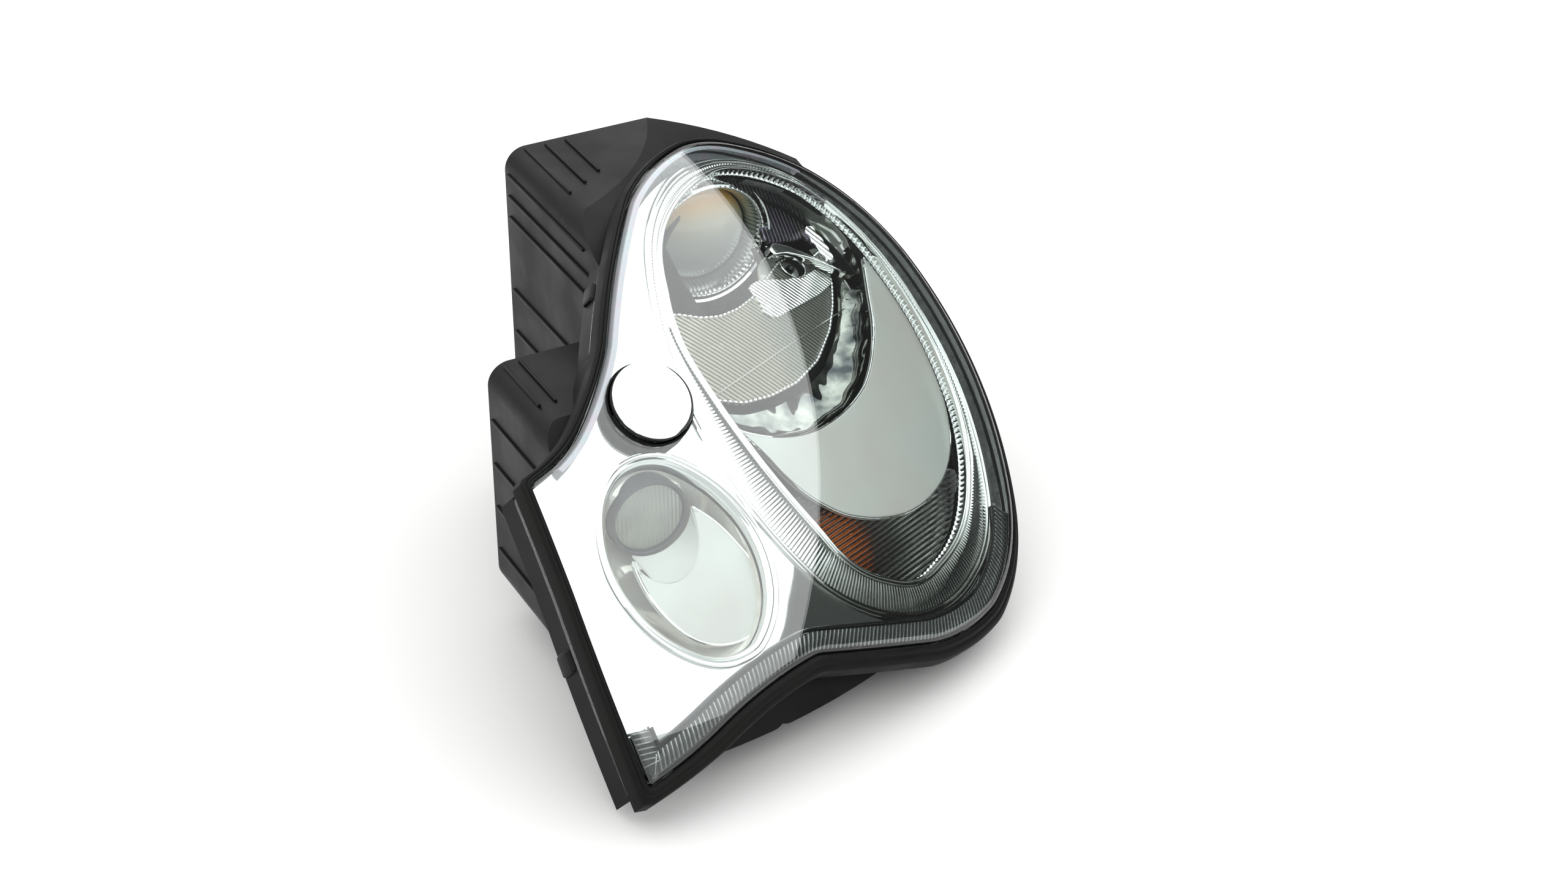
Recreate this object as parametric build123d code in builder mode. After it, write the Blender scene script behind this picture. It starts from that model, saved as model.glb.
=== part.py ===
"""Front left headlamp unit of a coupe: lens, bezel, lamp modules, washer, housing and fixings.

Frame: millimetres, +Z up, -Y towards the front of the car, +X towards its left-hand side.
The origin is the centre of the bore in the lock lug under the housing.
The lens is part of a ball. Everything under it is laid out in the face frame:
u across the lens, v up its length, and depth straight down into the lamp from the lens.
"""

from build123d import *
import os
from math import cos, radians, sin, sqrt

# ---------------------------------------------------------------- driving dimensions
APEX = Vector(-50, -240, 170)  # the point of the lens where the face frame stands
FACE_TILT = 40.0  # how far the lens leans back, degrees
FACE_SWEEP = 14.0  # how far it turns out to the side of the car, degrees
LENS_R = 600.0  # radius of the lens surface
LENS_WALL = 3.0
SKIRT_DEPTH = 28.0  # the lens's side walls reach this deep
WALL = 3.0  # housing wall

SEAL_TOP, SEAL_BOTTOM = 3.0, 15.0
BEZEL_TOP, BEZEL_BOTTOM = 12.0, 14.5
RIM_TOP, RIM_BOTTOM = 8.0, 13.0
SLEEVE_BOTTOM = 17.0  # lips under the oval rims
PLATE_TOP, PLATE_BOTTOM = 23.0, 26.0
CUP_TOP, CUP_BOTTOM = 34.0, 58.0  # lamp module bowls
MODULE_GAP = 8.0  # from a moving bowl to the sleeve's inner outline
CUP_WALL = 2.5
HIGH_BEAM_TOP, HIGH_BEAM_BOTTOM = 45.0, 48.0
DISH_TOP, DISH_BOTTOM = 50.0, 53.0
THROUGH = 180.0  # longer than anything that a cut goes through

FLANGE_BOTTOM = 44.0
FLOOR_Z = 12.0
REAR_Y = 60.0

LUG_BORE_R, LUG_R, LUG_LENGTH = 4.25, 10.0, 10.0
SHAFT_R = 4.0
ARM_THICK, ARM_WIDE = 6.0, 18.0  # lugs and arms of the moving modules
FRONT_Y = -420.0  # in front of everything
BOX_CORNER_R = 16.0
GUIDE_PIN_R, GUIDE_PIN_LENGTH = 5.0, 22.0

# ---------------------------------------------------------------- face frame
_tilt, _sweep = radians(FACE_TILT), radians(FACE_SWEEP)
V_DIR = Vector(0, cos(_tilt), sin(_tilt))
W_DIR = Vector(sin(_sweep), -cos(_sweep) * sin(_tilt), cos(_sweep) * cos(_tilt))
U_DIR = V_DIR.cross(W_DIR)
FACE = Plane(origin=APEX, x_dir=U_DIR, z_dir=W_DIR)
BALL_CENTRE = APEX - W_DIR * LENS_R
BALL = Plane(origin=BALL_CENTRE, x_dir=-W_DIR, z_dir=V_DIR)  # its seam faces away from the lens
REACH = 140.0  # how deep the outline prisms go
ABOVE = 20.0  # how far they stand over the lens

# ---------------------------------------------------------------- outlines: u, v, sagitta
# Each row is a corner and the sagitta of the arc to the next corner, positive bulging to
# the left of the way round.
LENS = [
    (-161, -202, -1.5),
    (-106, -181, 3),
    (-25, -153.5, -1),
    (77, -164.5, -4),
    (145, -148, -8.5),
    (200, -73, -12.5),
    (205, 128, -21),
    (99, 231, -4),
    (46, 232.5, -4.5),
    (-26, 189.5, -4),
    (-100, 82.5, 2),
    (-146, 25, 2.5),
    (-184, 3.5, -0.5),
    (-180, -76, -3),
]
SEAL = [
    (-166, -214, -1.5),
    (-102, -192.5, 3),
    (-24, -165, -1),
    (80, -176, -4),
    (152, -156, -8.5),
    (205, -75, -12.5),
    (208.5, 130, -21),
    (100, 234.5, -4),
    (45, 236, -4.5),
    (-30, 192, -4),
    (-104, 86, 2),
    (-149, 29.5, 2.5),
    (-190, 7, -0.5),
    (-185.5, -76, -3),
]
RIM = [
    (-31, 152, -10.5),
    (-60, 15, -10),
    (-7.5, -109.5, -7.5),
    (69, -146, -6.5),
    (141.5, -124.5, -7),
    (185, -66, -9),
    (194.5, 85.5, -11.5),
    (145, 202.5, -9),
    (59, 221, -2.5),
    (14.5, 201.5, -3.5),
]
RIM_INNER = [
    (-29, 117, -5.5),
    (-35.5, 47, -6.5),
    (12, -74, -7),
    (56, -113, -6.5),
    (107, -109, -6.5),
    (162, -59, -5),
    (188.5, 20, -3.5),
    (185, 114, -7),
    (150, 195, -6),
    (81, 214, -4),
    (14, 181.5, -7),
]
MAIN_PLATE = [
    (180, 135.5, 3),
    (191, 53, 3.5),
    (177, -16.5, 2.5),
    (149, -49.5, 3),
    (100, -70, 3.5),
    (42.5, -64, 5.5),
    (-3.5, -19, -1),
    (-23, 10.5, -6),
    (42.5, -2, -3.5),
    (105, 26, -4.5),
    (156, 95, 0.5),
]
FOG_RIM = [
    (-149.5, -32, -6),
    (-146, -94.5, -4),
    (-110.5, -136, -6.5),
    (-61.5, -140.5, -3.5),
    (-38.5, -105.5, -5),
    (-45, -47.5, -4),
    (-83.5, -1.5, -5),
    (-125, 0, -4),
]
FOG_PLATE = [
    (-80.5, -30.5, 3),
    (-51.5, -65, 4.5),
    (-43.5, -106.5, 6.5),
    (-69.5, -128.5, 3),
    (-101, -119, 5.5),
    (-126.5, -65, 21),
]
STRIP_ZONE = [(-165, -225, 0), (230, -225, 0), (230, -62, 0), (150, -95, 0), (-168, -170, 0)]
TOP_REFLECTOR = [(109, 189, -2), (144, 175, -4), (166, 137, 1), (137, 139, 3), (114, 158, 0)]


def draw(rows):
    """Closed chain of arcs through the rows of an outline, in the active line."""
    for start, end in zip(rows, rows[1:] + rows[:1]):
        a, b = Vector(start[0], start[1]), Vector(end[0], end[1])
        if start[2] == 0:
            Line(a, b)
        else:
            SagittaArc(a, b, start[2])


def layer(rows, top, bottom, inset=0.0, keep=None):
    """The piece of the lens-shaped layer between two depths that lies inside an outline.

    inset shrinks the outline, or grows it when negative. keep is a second outline that the
    piece is also cut to.
    """
    with BuildPart() as piece:
        with BuildSketch(FACE.offset(-REACH)):
            with BuildLine():
                draw(rows)
            make_face()
            if inset:
                offset(amount=-inset, mode=Mode.REPLACE)
            if keep:
                with BuildLine():
                    draw(keep)
                make_face(mode=Mode.INTERSECT)
        extrude(amount=REACH + ABOVE)
        with Locations(BALL):
            Sphere(LENS_R - top, mode=Mode.INTERSECT)
            Sphere(LENS_R - bottom, mode=Mode.SUBTRACT)
    return piece.part


def face_point(u, v, depth):
    """Point at u, v in the face frame and this depth below the lens."""
    r = LENS_R - depth
    return BALL_CENTRE + U_DIR * u + V_DIR * v + W_DIR * sqrt(r * r - u * u - v * v)


def below(v, width=260.0):
    """Outline of everything lower on the lens than v."""
    return [(-width, -width, 0), (width, -width, 0), (width, v, 0), (-width, v, 0)]


def above(v, width=260.0):
    """Outline of everything higher on the lens than v."""
    return [(-width, v, 0), (width, v, 0), (width, width, 0), (-width, width, 0)]


def forward(x, z, y):
    """Plane at y that faces the front of the car, its origin at x, z."""
    return Plane(origin=(x, y, z), x_dir=(1, 0, 0), z_dir=(0, -1, 0))


def box_layer(bounds, wall, top):
    """Box behind the lens from the floor up, shrunk by wall, its front at this depth."""
    x_from, x_to, z_to, y_to = bounds
    with BuildPart() as piece:
        with BuildSketch(Plane.XZ.offset(-(y_to - wall))):
            with Locations(((x_from + x_to) / 2, (FLOOR_Z + z_to) / 2)):
                RectangleRounded(
                    x_to - x_from - 2 * wall, z_to - FLOOR_Z - 2 * wall, BOX_CORNER_R - wall
                )
        extrude(amount=y_to - wall - FRONT_Y)
        with Locations(BALL):
            Sphere(LENS_R - top, mode=Mode.INTERSECT)
    return piece.part


def oval_layer(half_length, half_width, top, bottom):
    """Oval piece of the lens-shaped layer, around the middle of the high beam."""
    with BuildPart() as piece:
        with BuildSketch(FACE.offset(-REACH)):
            with Locations(Location((HIGH_BEAM_U, HIGH_BEAM_V, 0), (0, 0, HIGH_BEAM_TURN))):
                Ellipse(half_length, half_width)
        extrude(amount=REACH + ABOVE)
        with Locations(BALL):
            Sphere(LENS_R - top, mode=Mode.INTERSECT)
            Sphere(LENS_R - bottom, mode=Mode.SUBTRACT)
    return piece.part


def bowl_lug(x, y, z, length, bottom):
    """Plate from a pivot shaft up to the back of a bowl whose lower skin ends at bottom."""
    with BuildPart() as piece:
        with BuildSketch(Plane(origin=(x, y, z), x_dir=V_DIR, z_dir=(1, 0, 0))):
            with Locations((0, length / 2)):
                Rectangle(ARM_WIDE, length)
            Circle(ARM_WIDE / 2)
        extrude(amount=ARM_THICK / 2, both=True)
        with Locations(BALL):
            Sphere(LENS_R - bottom + 1, mode=Mode.INTERSECT)
    return piece.part


def save(piece, name):
    """Labels a finished piece and writes it."""
    piece.part.label = name
    export_step(piece.part, f"parts/{name}.step")


os.makedirs("parts", exist_ok=True)

# ---------------------------------------------------------------- places of the lamps
WASHER_AT = face_point(-91, 33, 0)
WASHER_AXIS = (WASHER_AT - BALL_CENTRE).normalized()
CAP_R, CAP_PROUD, CAP_HOLE_R = 28.5, 7.0, 30.5
PROJECTOR = Vector(-7, -29.7, 203)  # centre of the front of the projector lens
PROJECTOR_R = 35.0
FOG_LAMP = Vector(-157.7, -252, 136)  # centre of the fog lamp's lens
FOG_LENS_R = 25.3
LAMP_GAP = 5.0  # round a lamp that tips, in the fixed pieces beside it
HIGH_BEAM_U, HIGH_BEAM_V, HIGH_BEAM_TURN = 43.0, 104.0, 21.0
HIGH_BEAM_HALF_LENGTH, HIGH_BEAM_HALF_WIDTH = 85.0, 65.0
BULB_AT = face_point(119, 137, HIGH_BEAM_TOP)
BULB_R, BULB_HOLE_R, BULB_LENGTH = 6.0, 9.0, 8.0
AMBER_AT = face_point(49, -84, 41)
PIVOT_Y, PIVOT_Z = -40.0, 150.0  # the main module tips about this line
FOG_PIVOT_Y, FOG_PIVOT_Z = -215.0, 95.0

# ---------------------------------------------------------------- lens and seal
lens_solid = layer(LENS, 0, SKIRT_DEPTH)
lens_hollow = layer(LENS, LENS_WALL, SKIRT_DEPTH + 5, inset=LENS_WALL)
with BuildPart() as lens_cover:
    add(lens_solid)
    add(lens_hollow, mode=Mode.SUBTRACT)
    with Locations(Plane(origin=WASHER_AT, z_dir=WASHER_AXIS)):
        Cylinder(CAP_HOLE_R, 20, mode=Mode.SUBTRACT)
save(lens_cover, "lens_cover")

seal_solid = layer(SEAL, SEAL_TOP, SEAL_BOTTOM)
seal_hole = layer(LENS, -5, SKIRT_DEPTH)
with BuildPart() as lens_seal:
    add(seal_solid)
    add(seal_hole, mode=Mode.SUBTRACT)
save(lens_seal, "lens_seal")

# ---------------------------------------------------------------- bezel, rims and plates
bezel_solid = layer(LENS, BEZEL_TOP, BEZEL_BOTTOM, inset=LENS_WALL)
rim_hole = layer(RIM, 0, SLEEVE_BOTTOM + 10)
fog_hole = layer(FOG_RIM, 0, SLEEVE_BOTTOM + 10)
with BuildPart() as bezel:
    add(bezel_solid)
    add(rim_hole, mode=Mode.SUBTRACT)
    add(fog_hole, mode=Mode.SUBTRACT)
    with Locations(Plane(origin=WASHER_AT, z_dir=WASHER_AXIS)):
        Cylinder(CAP_HOLE_R, 60, mode=Mode.SUBTRACT)
save(bezel, "bezel")

rim_solid = layer(RIM, RIM_TOP, RIM_BOTTOM)
rim_sleeve = layer(RIM_INNER, RIM_BOTTOM - 1, SLEEVE_BOTTOM, inset=-2.5, keep=RIM)
rim_bore = layer(RIM_INNER, 0, SLEEVE_BOTTOM + 10)
with BuildPart() as main_rim:
    add(rim_solid)
    add(rim_sleeve)
    add(rim_bore, mode=Mode.SUBTRACT)
save(main_rim, "main_rim")

fog_rim_solid = layer(FOG_RIM, RIM_TOP, RIM_BOTTOM)
fog_sleeve = layer(FOG_RIM, RIM_BOTTOM - 1, SLEEVE_BOTTOM, inset=3)
fog_bore = layer(FOG_RIM, 0, SLEEVE_BOTTOM + 10, inset=5.5)
with BuildPart() as fog_rim:
    add(fog_rim_solid)
    add(fog_sleeve)
    add(fog_bore, mode=Mode.SUBTRACT)
save(fog_rim, "fog_rim")

plate_solid = layer(MAIN_PLATE, PLATE_TOP, PLATE_BOTTOM, keep=RIM_INNER)
with BuildPart() as main_plate:
    add(plate_solid)
save(main_plate, "main_plate")

fog_plate_solid = layer(FOG_PLATE, PLATE_TOP, PLATE_BOTTOM)
with BuildPart() as fog_plate:
    add(fog_plate_solid)
    with BuildSketch(forward(FOG_LAMP.X, FOG_LAMP.Z, FOG_LAMP.Y + THROUGH / 2)):
        Circle(FOG_LENS_R + LAMP_GAP)
    extrude(amount=THROUGH, mode=Mode.SUBTRACT)
save(fog_plate, "fog_plate")

strip_outer = layer(LENS, 7, 11.5, inset=LENS_WALL + 1, keep=STRIP_ZONE)
strip_hole = layer(LENS, 0, 20, inset=LENS_WALL + 11)
with BuildPart() as light_strip:
    add(strip_outer)
    add(strip_hole, mode=Mode.SUBTRACT)
save(light_strip, "light_strip")

# ---------------------------------------------------------------- indicator lamp
INDICATOR_TOP, INDICATOR_BOTTOM = 32.0, 64.0
indicator_cup = layer(RIM_INNER, INDICATOR_TOP, INDICATOR_BOTTOM, inset=3, keep=below(-40))
indicator_hollow = layer(RIM_INNER, 20, INDICATOR_BOTTOM - 2, inset=5, keep=below(-42))
with BuildPart() as indicator_reflector:
    add(indicator_cup)
    add(indicator_hollow, mode=Mode.SUBTRACT)
save(indicator_reflector, "indicator_reflector")

indicator_glass = layer(RIM_INNER, 27, 30, inset=0.5, keep=below(-44))
with BuildPart() as indicator_lens:
    add(indicator_glass)
save(indicator_lens, "indicator_lens")

AMBER_R, AMBER_LENGTH = 9.5, 14.0
with BuildPart() as indicator_bulb:
    with BuildSketch(forward(AMBER_AT.X, AMBER_AT.Z, AMBER_AT.Y)):
        Circle(AMBER_R)
    extrude(amount=-AMBER_LENGTH)
    fillet(indicator_bulb.faces().sort_by(Axis.Y)[0].edges(), radius=AMBER_R - 0.5)
save(indicator_bulb, "indicator_bulb")

# ---------------------------------------------------------------- main beam module
CARRIER_FOOT_V = -25.0  # the bowl ends here, short of the indicator
carrier_outer = layer(
    RIM_INNER, CUP_TOP, CUP_BOTTOM, inset=MODULE_GAP, keep=above(CARRIER_FOOT_V)
)
carrier_hollow = layer(
    RIM_INNER,
    CUP_TOP - 5,
    CUP_BOTTOM - CUP_WALL,
    inset=MODULE_GAP + CUP_WALL,
    keep=above(CARRIER_FOOT_V + CUP_WALL),
)
SHAFT_FROM, SHAFT_TO = -103.0, 105.0
left_lug = bowl_lug(-60, PIVOT_Y, PIVOT_Z, 120, CUP_BOTTOM)
right_lug = bowl_lug(70, PIVOT_Y, PIVOT_Z, 60, CUP_BOTTOM)
BARREL_R, BARREL_LENGTH = 37.0, 55.0
COLLAR_R, COLLAR_LENGTH = 40.0, 10.0
ARM_X, ARM_FOOT_Z = 30.0, 60.0  # arm that the levelling motor pushes
with BuildPart() as beam_carrier:
    add(carrier_outer)
    add(carrier_hollow, mode=Mode.SUBTRACT)
    add(left_lug)
    add(right_lug)
    with BuildSketch(Plane.YZ.offset(SHAFT_FROM)):
        with Locations((PIVOT_Y, PIVOT_Z)):
            Circle(SHAFT_R)
    extrude(amount=SHAFT_TO - SHAFT_FROM)
    with BuildSketch(Plane.YZ.offset(ARM_X)):
        with Locations((PIVOT_Y, (PIVOT_Z + ARM_FOOT_Z) / 2)):
            Rectangle(12, PIVOT_Z - ARM_FOOT_Z)
    extrude(amount=ARM_THICK)
    with BuildSketch(forward(PROJECTOR.X, PROJECTOR.Z, REAR_Y)):
        Circle(BARREL_R)
    extrude(amount=THROUGH, mode=Mode.SUBTRACT)
    with BuildSketch(forward(PROJECTOR.X, PROJECTOR.Z, PROJECTOR.Y + 3 + COLLAR_LENGTH)):
        Circle(COLLAR_R)
    extrude(amount=THROUGH, mode=Mode.SUBTRACT)
save(beam_carrier, "beam_carrier")

with BuildPart() as projector_body:
    with BuildSketch(forward(PROJECTOR.X, PROJECTOR.Z, PROJECTOR.Y + 3)):
        Circle(COLLAR_R)
    extrude(amount=-COLLAR_LENGTH)
    with BuildSketch(forward(PROJECTOR.X, PROJECTOR.Z, PROJECTOR.Y + 3)):
        Circle(BARREL_R)
    extrude(amount=-BARREL_LENGTH)
    fillet(projector_body.faces().sort_by(Axis.Y)[-1].edges(), radius=18)
    with BuildSketch(forward(PROJECTOR.X, PROJECTOR.Z, PROJECTOR.Y + 3)):
        Circle(PROJECTOR_R + 0.2)
    extrude(amount=-(BARREL_LENGTH - 20), mode=Mode.SUBTRACT)
save(projector_body, "projector_body")

PROJECTOR_EDGE, PROJECTOR_CROWN = 6.0, 9.0
projector_ball_r = (PROJECTOR_R**2 + PROJECTOR_CROWN**2) / (2 * PROJECTOR_CROWN)
with BuildPart() as projector_lens:
    with BuildSketch(forward(PROJECTOR.X, PROJECTOR.Z, PROJECTOR.Y + PROJECTOR_EDGE)):
        Circle(PROJECTOR_R)
    extrude(amount=PROJECTOR_EDGE + PROJECTOR_CROWN + 1)
    with Locations(PROJECTOR + Vector(0, projector_ball_r - PROJECTOR_CROWN, 0)):
        Sphere(projector_ball_r, mode=Mode.INTERSECT)
save(projector_lens, "projector_lens")

DISH_INSET, WINDOW_GAP = 4.0, 0.3
high_beam_glass = oval_layer(
    HIGH_BEAM_HALF_LENGTH, HIGH_BEAM_HALF_WIDTH, HIGH_BEAM_TOP, HIGH_BEAM_BOTTOM
)
high_beam_dish = oval_layer(
    HIGH_BEAM_HALF_LENGTH - DISH_INSET, HIGH_BEAM_HALF_WIDTH - DISH_INSET, DISH_TOP, DISH_BOTTOM
)
high_beam_window = layer(
    RIM_INNER,
    CUP_TOP,
    CUP_BOTTOM,
    inset=MODULE_GAP + CUP_WALL + WINDOW_GAP,
    keep=above(CARRIER_FOOT_V + CUP_WALL + WINDOW_GAP),
)
for glass, name in ((high_beam_glass, "high_beam_lens"), (high_beam_dish, "high_beam_reflector")):
    with BuildPart() as disc:
        add(glass)
        add(high_beam_window, mode=Mode.INTERSECT)
        with BuildSketch(forward(PROJECTOR.X, PROJECTOR.Z, PROJECTOR.Y + 60)):
            Circle(COLLAR_R + 1)
        extrude(amount=THROUGH, mode=Mode.SUBTRACT)
        with BuildSketch(forward(BULB_AT.X, BULB_AT.Z, BULB_AT.Y + 30)):
            Circle(BULB_HOLE_R)
        extrude(amount=THROUGH, mode=Mode.SUBTRACT)
    save(disc, name)

with BuildPart() as high_beam_bulb:
    with BuildSketch(forward(BULB_AT.X, BULB_AT.Z, BULB_AT.Y + 2)):
        Circle(BULB_R)
    extrude(amount=-BULB_LENGTH)
    fillet(high_beam_bulb.faces().sort_by(Axis.Y)[0].edges(), radius=BULB_R - 0.5)
save(high_beam_bulb, "high_beam_bulb")

TOP_REFLECTOR_TOP, TOP_REFLECTOR_BOTTOM = 38.0, 41.0
top_reflector_solid = layer(TOP_REFLECTOR, TOP_REFLECTOR_TOP, TOP_REFLECTOR_BOTTOM)
with BuildPart() as top_reflector:
    add(top_reflector_solid)
save(top_reflector, "top_reflector")

# ---------------------------------------------------------------- fog lamp module
FOG_CUP_INSET = 14.0
fog_cup_outer = layer(FOG_RIM, CUP_TOP, CUP_BOTTOM, inset=FOG_CUP_INSET)
fog_cup_hollow = layer(
    FOG_RIM, CUP_TOP - 5, CUP_BOTTOM - CUP_WALL, inset=FOG_CUP_INSET + CUP_WALL
)
fog_lug = bowl_lug(FOG_LAMP.X, FOG_PIVOT_Y, FOG_PIVOT_Z, 70, CUP_BOTTOM)
FOG_SHAFT_FROM, FOG_SHAFT_TO = -191.0, -121.0
FOG_TUBE_R, FOG_TUBE_LENGTH = 27.5, 30.0
with BuildPart() as fog_reflector:
    add(fog_cup_outer)
    add(fog_cup_hollow, mode=Mode.SUBTRACT)
    with BuildSketch(forward(FOG_LAMP.X, FOG_LAMP.Z, FOG_LAMP.Y + 2)):
        Circle(FOG_TUBE_R)
    extrude(amount=-FOG_TUBE_LENGTH)
    with BuildSketch(forward(FOG_LAMP.X, FOG_LAMP.Z, FOG_LAMP.Y + 10)):
        Circle(FOG_LENS_R)
    extrude(amount=THROUGH, mode=Mode.SUBTRACT)
    add(fog_lug)
    with BuildSketch(Plane.YZ.offset(FOG_SHAFT_FROM)):
        with Locations((FOG_PIVOT_Y, FOG_PIVOT_Z)):
            Circle(SHAFT_R)
    extrude(amount=FOG_SHAFT_TO - FOG_SHAFT_FROM)
save(fog_reflector, "fog_reflector")

with BuildPart() as fog_lens:
    with BuildSketch(forward(FOG_LAMP.X, FOG_LAMP.Z, FOG_LAMP.Y)):
        Circle(FOG_LENS_R)
    extrude(amount=-8)
    chamfer(fog_lens.faces().sort_by(Axis.Y)[0].edges(), length=1.5)
save(fog_lens, "fog_lens")

# ---------------------------------------------------------------- headlamp washer
washer_plane = Plane(origin=WASHER_AT, x_dir=U_DIR, z_dir=WASHER_AXIS)
STEM_R, STEM_LENGTH, STEM_SHOULDER, STEM_SHOULDER_R = 9.5, 114.0, 13.0, 14.5
TUBE_R, TUBE_BORE_R, TUBE_TOP, TUBE_BOTTOM = 15.0, 10.5, 20.0, 125.0
with BuildPart() as washer_cap:
    with BuildSketch(washer_plane.offset(-1)):
        Circle(CAP_R)
    extrude(amount=CAP_PROUD + 1)
    fillet(washer_cap.faces().sort_by(Axis(WASHER_AT, WASHER_AXIS))[-1].edges(), radius=1.5)
save(washer_cap, "washer_cap")

with BuildPart() as washer_stem:
    with BuildSketch(washer_plane.offset(-1)):
        Circle(STEM_R)
    extrude(amount=-STEM_LENGTH)
    with BuildSketch(washer_plane.offset(-1)):
        Circle(STEM_SHOULDER_R)
    extrude(amount=-STEM_SHOULDER)
save(washer_stem, "washer_stem")

with BuildPart() as washer_tube:
    with BuildSketch(washer_plane.offset(-TUBE_TOP)):
        Circle(TUBE_R)
    extrude(amount=-(TUBE_BOTTOM - TUBE_TOP))
    with BuildSketch(washer_plane.offset(-TUBE_TOP)):
        Circle(TUBE_BORE_R)
    extrude(amount=-(TUBE_BOTTOM - TUBE_TOP - 4), mode=Mode.SUBTRACT)
save(washer_tube, "washer_tube")

# ---------------------------------------------------------------- housing
MAIN_BOX = (-118.0, 120.0, 256.0, REAR_Y)  # x from, x to, top z, rear y
FOG_BOX = (-208.0, -100.0, 190.0, -110.0)

flange = layer(LENS, SKIRT_DEPTH, FLANGE_BOTTOM)
flange_hollow = layer(LENS, SKIRT_DEPTH - 5, FLANGE_BOTTOM - WALL, inset=WALL)
main_box = box_layer(MAIN_BOX, 0, SKIRT_DEPTH + 2)
main_hollow = box_layer(MAIN_BOX, WALL, SKIRT_DEPTH + 2 + WALL)
fog_box = box_layer(FOG_BOX, 0, SKIRT_DEPTH + 2)
fog_hollow = box_layer(FOG_BOX, WALL, SKIRT_DEPTH + 2 + WALL)

SERVICE_X, SERVICE_Z = -10.0, 160.0
SERVICE_WIDE, SERVICE_HIGH = 100.0, 90.0
GUIDE_PINS = ((-90.0, 40.0), (84.0, 40.0))  # x, z
RAILS_X = (-80.0, 70.0)
POSTS = (  # x, y, z of the pivot, thickness
    (-98.0, PIVOT_Y, PIVOT_Z, 8.0),
    (100.0, PIVOT_Y, PIVOT_Z, 8.0),
    (-186.0, FOG_PIVOT_Y, FOG_PIVOT_Z, 8.0),
    (-125.0, FOG_PIVOT_Y, FOG_PIVOT_Z, 6.0),
)
HINGE_Y, HINGE_Z, HINGE_R, HINGE_PIN_R = 66.0, 100.0, 5.0, 2.0
HOUSING_KNUCKLES = ((-52.0, -32.0), (12.0, 32.0))  # x from, x to
with BuildPart() as shell:
    add(flange)
    add(main_box)
    add(fog_box)
    add(flange_hollow, mode=Mode.SUBTRACT)
    add(main_hollow, mode=Mode.SUBTRACT)
    add(fog_hollow, mode=Mode.SUBTRACT)
    with BuildSketch(forward(PROJECTOR.X, PROJECTOR.Z, PROJECTOR.Y + BARREL_LENGTH)):
        Circle(COLLAR_R + LAMP_GAP)
    extrude(amount=THROUGH, mode=Mode.SUBTRACT)

with BuildPart() as housing_frame:
    add(shell.part)
    with Locations(BALL):
        Sphere(LENS_R - FLANGE_BOTTOM, mode=Mode.SUBTRACT)
save(housing_frame, "housing_frame")

BEHIND = 2 * THROUGH
with BuildPart() as fog_housing:
    add(shell.part)
    with Locations(BALL):
        Sphere(LENS_R - FLANGE_BOTTOM, mode=Mode.INTERSECT)
    with Locations((MAIN_BOX[0] + BEHIND, FRONT_Y / 2, PIVOT_Z)):
        Box(2 * BEHIND, 4 * BEHIND, 2 * BEHIND, mode=Mode.SUBTRACT)
save(fog_housing, "fog_housing")

with BuildPart() as housing:
    add(shell.part)
    with Locations(BALL):
        Sphere(LENS_R - FLANGE_BOTTOM, mode=Mode.INTERSECT)
    with Locations((MAIN_BOX[0] - BEHIND, FRONT_Y / 2, PIVOT_Z)):
        Box(2 * BEHIND, 4 * BEHIND, 2 * BEHIND, mode=Mode.SUBTRACT)
    with BuildSketch(Plane.XZ.offset(-REAR_Y - 1)):
        with Locations((SERVICE_X, SERVICE_Z)):
            RectangleRounded(SERVICE_WIDE, SERVICE_HIGH, 12)
    extrude(amount=10, mode=Mode.SUBTRACT)
    for x_from, x_to in HOUSING_KNUCKLES:
        with BuildSketch(Plane.YZ.offset(x_from)):
            with Locations((HINGE_Y, HINGE_Z)):
                Circle(HINGE_R)
            with Locations(((REAR_Y + HINGE_Y) / 2, HINGE_Z)):
                Rectangle(HINGE_Y - REAR_Y, 2 * HINGE_R)
            with Locations((HINGE_Y, HINGE_Z)):
                Circle(HINGE_PIN_R, mode=Mode.SUBTRACT)
        extrude(amount=x_to - x_from)
save(housing, "housing")

for index, (x, y, z, thick) in enumerate(POSTS, start=1):
    with BuildPart() as post:
        with BuildSketch(Plane.YZ.offset(x - thick / 2)):
            with Locations((y, (FLOOR_Z + WALL + z) / 2)):
                Rectangle(20, z - FLOOR_Z - WALL)
            with Locations((y, z)):
                Circle(10)
                Circle(SHAFT_R + 0.3, mode=Mode.SUBTRACT)
        extrude(amount=thick)
    save(post, f"pivot_post_{index}")

with BuildPart() as lock_lug:
    with BuildSketch(Plane.YZ.offset(-LUG_LENGTH / 2)):
        Circle(LUG_R)
        with Locations((0, FLOOR_Z / 2)):
            Rectangle(2 * LUG_R, FLOOR_Z)
        Circle(LUG_BORE_R, mode=Mode.SUBTRACT)
    extrude(amount=LUG_LENGTH)
save(lock_lug, "lock_lug")

RAIL_WIDE, RAIL_HIGH, RAIL_FROM_Y, RAIL_TO_Y = 8.0, 6.0, -190.0, 40.0
for side, x in zip(("right", "left"), RAILS_X):
    with BuildPart() as rail:
        with BuildSketch(Plane.XZ.offset(-RAIL_TO_Y)):
            with Locations((x, FLOOR_Z - RAIL_HIGH / 2)):
                Rectangle(RAIL_WIDE, RAIL_HIGH)
        extrude(amount=RAIL_TO_Y - RAIL_FROM_Y)
    save(rail, f"guide_rail_{side}")

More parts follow.
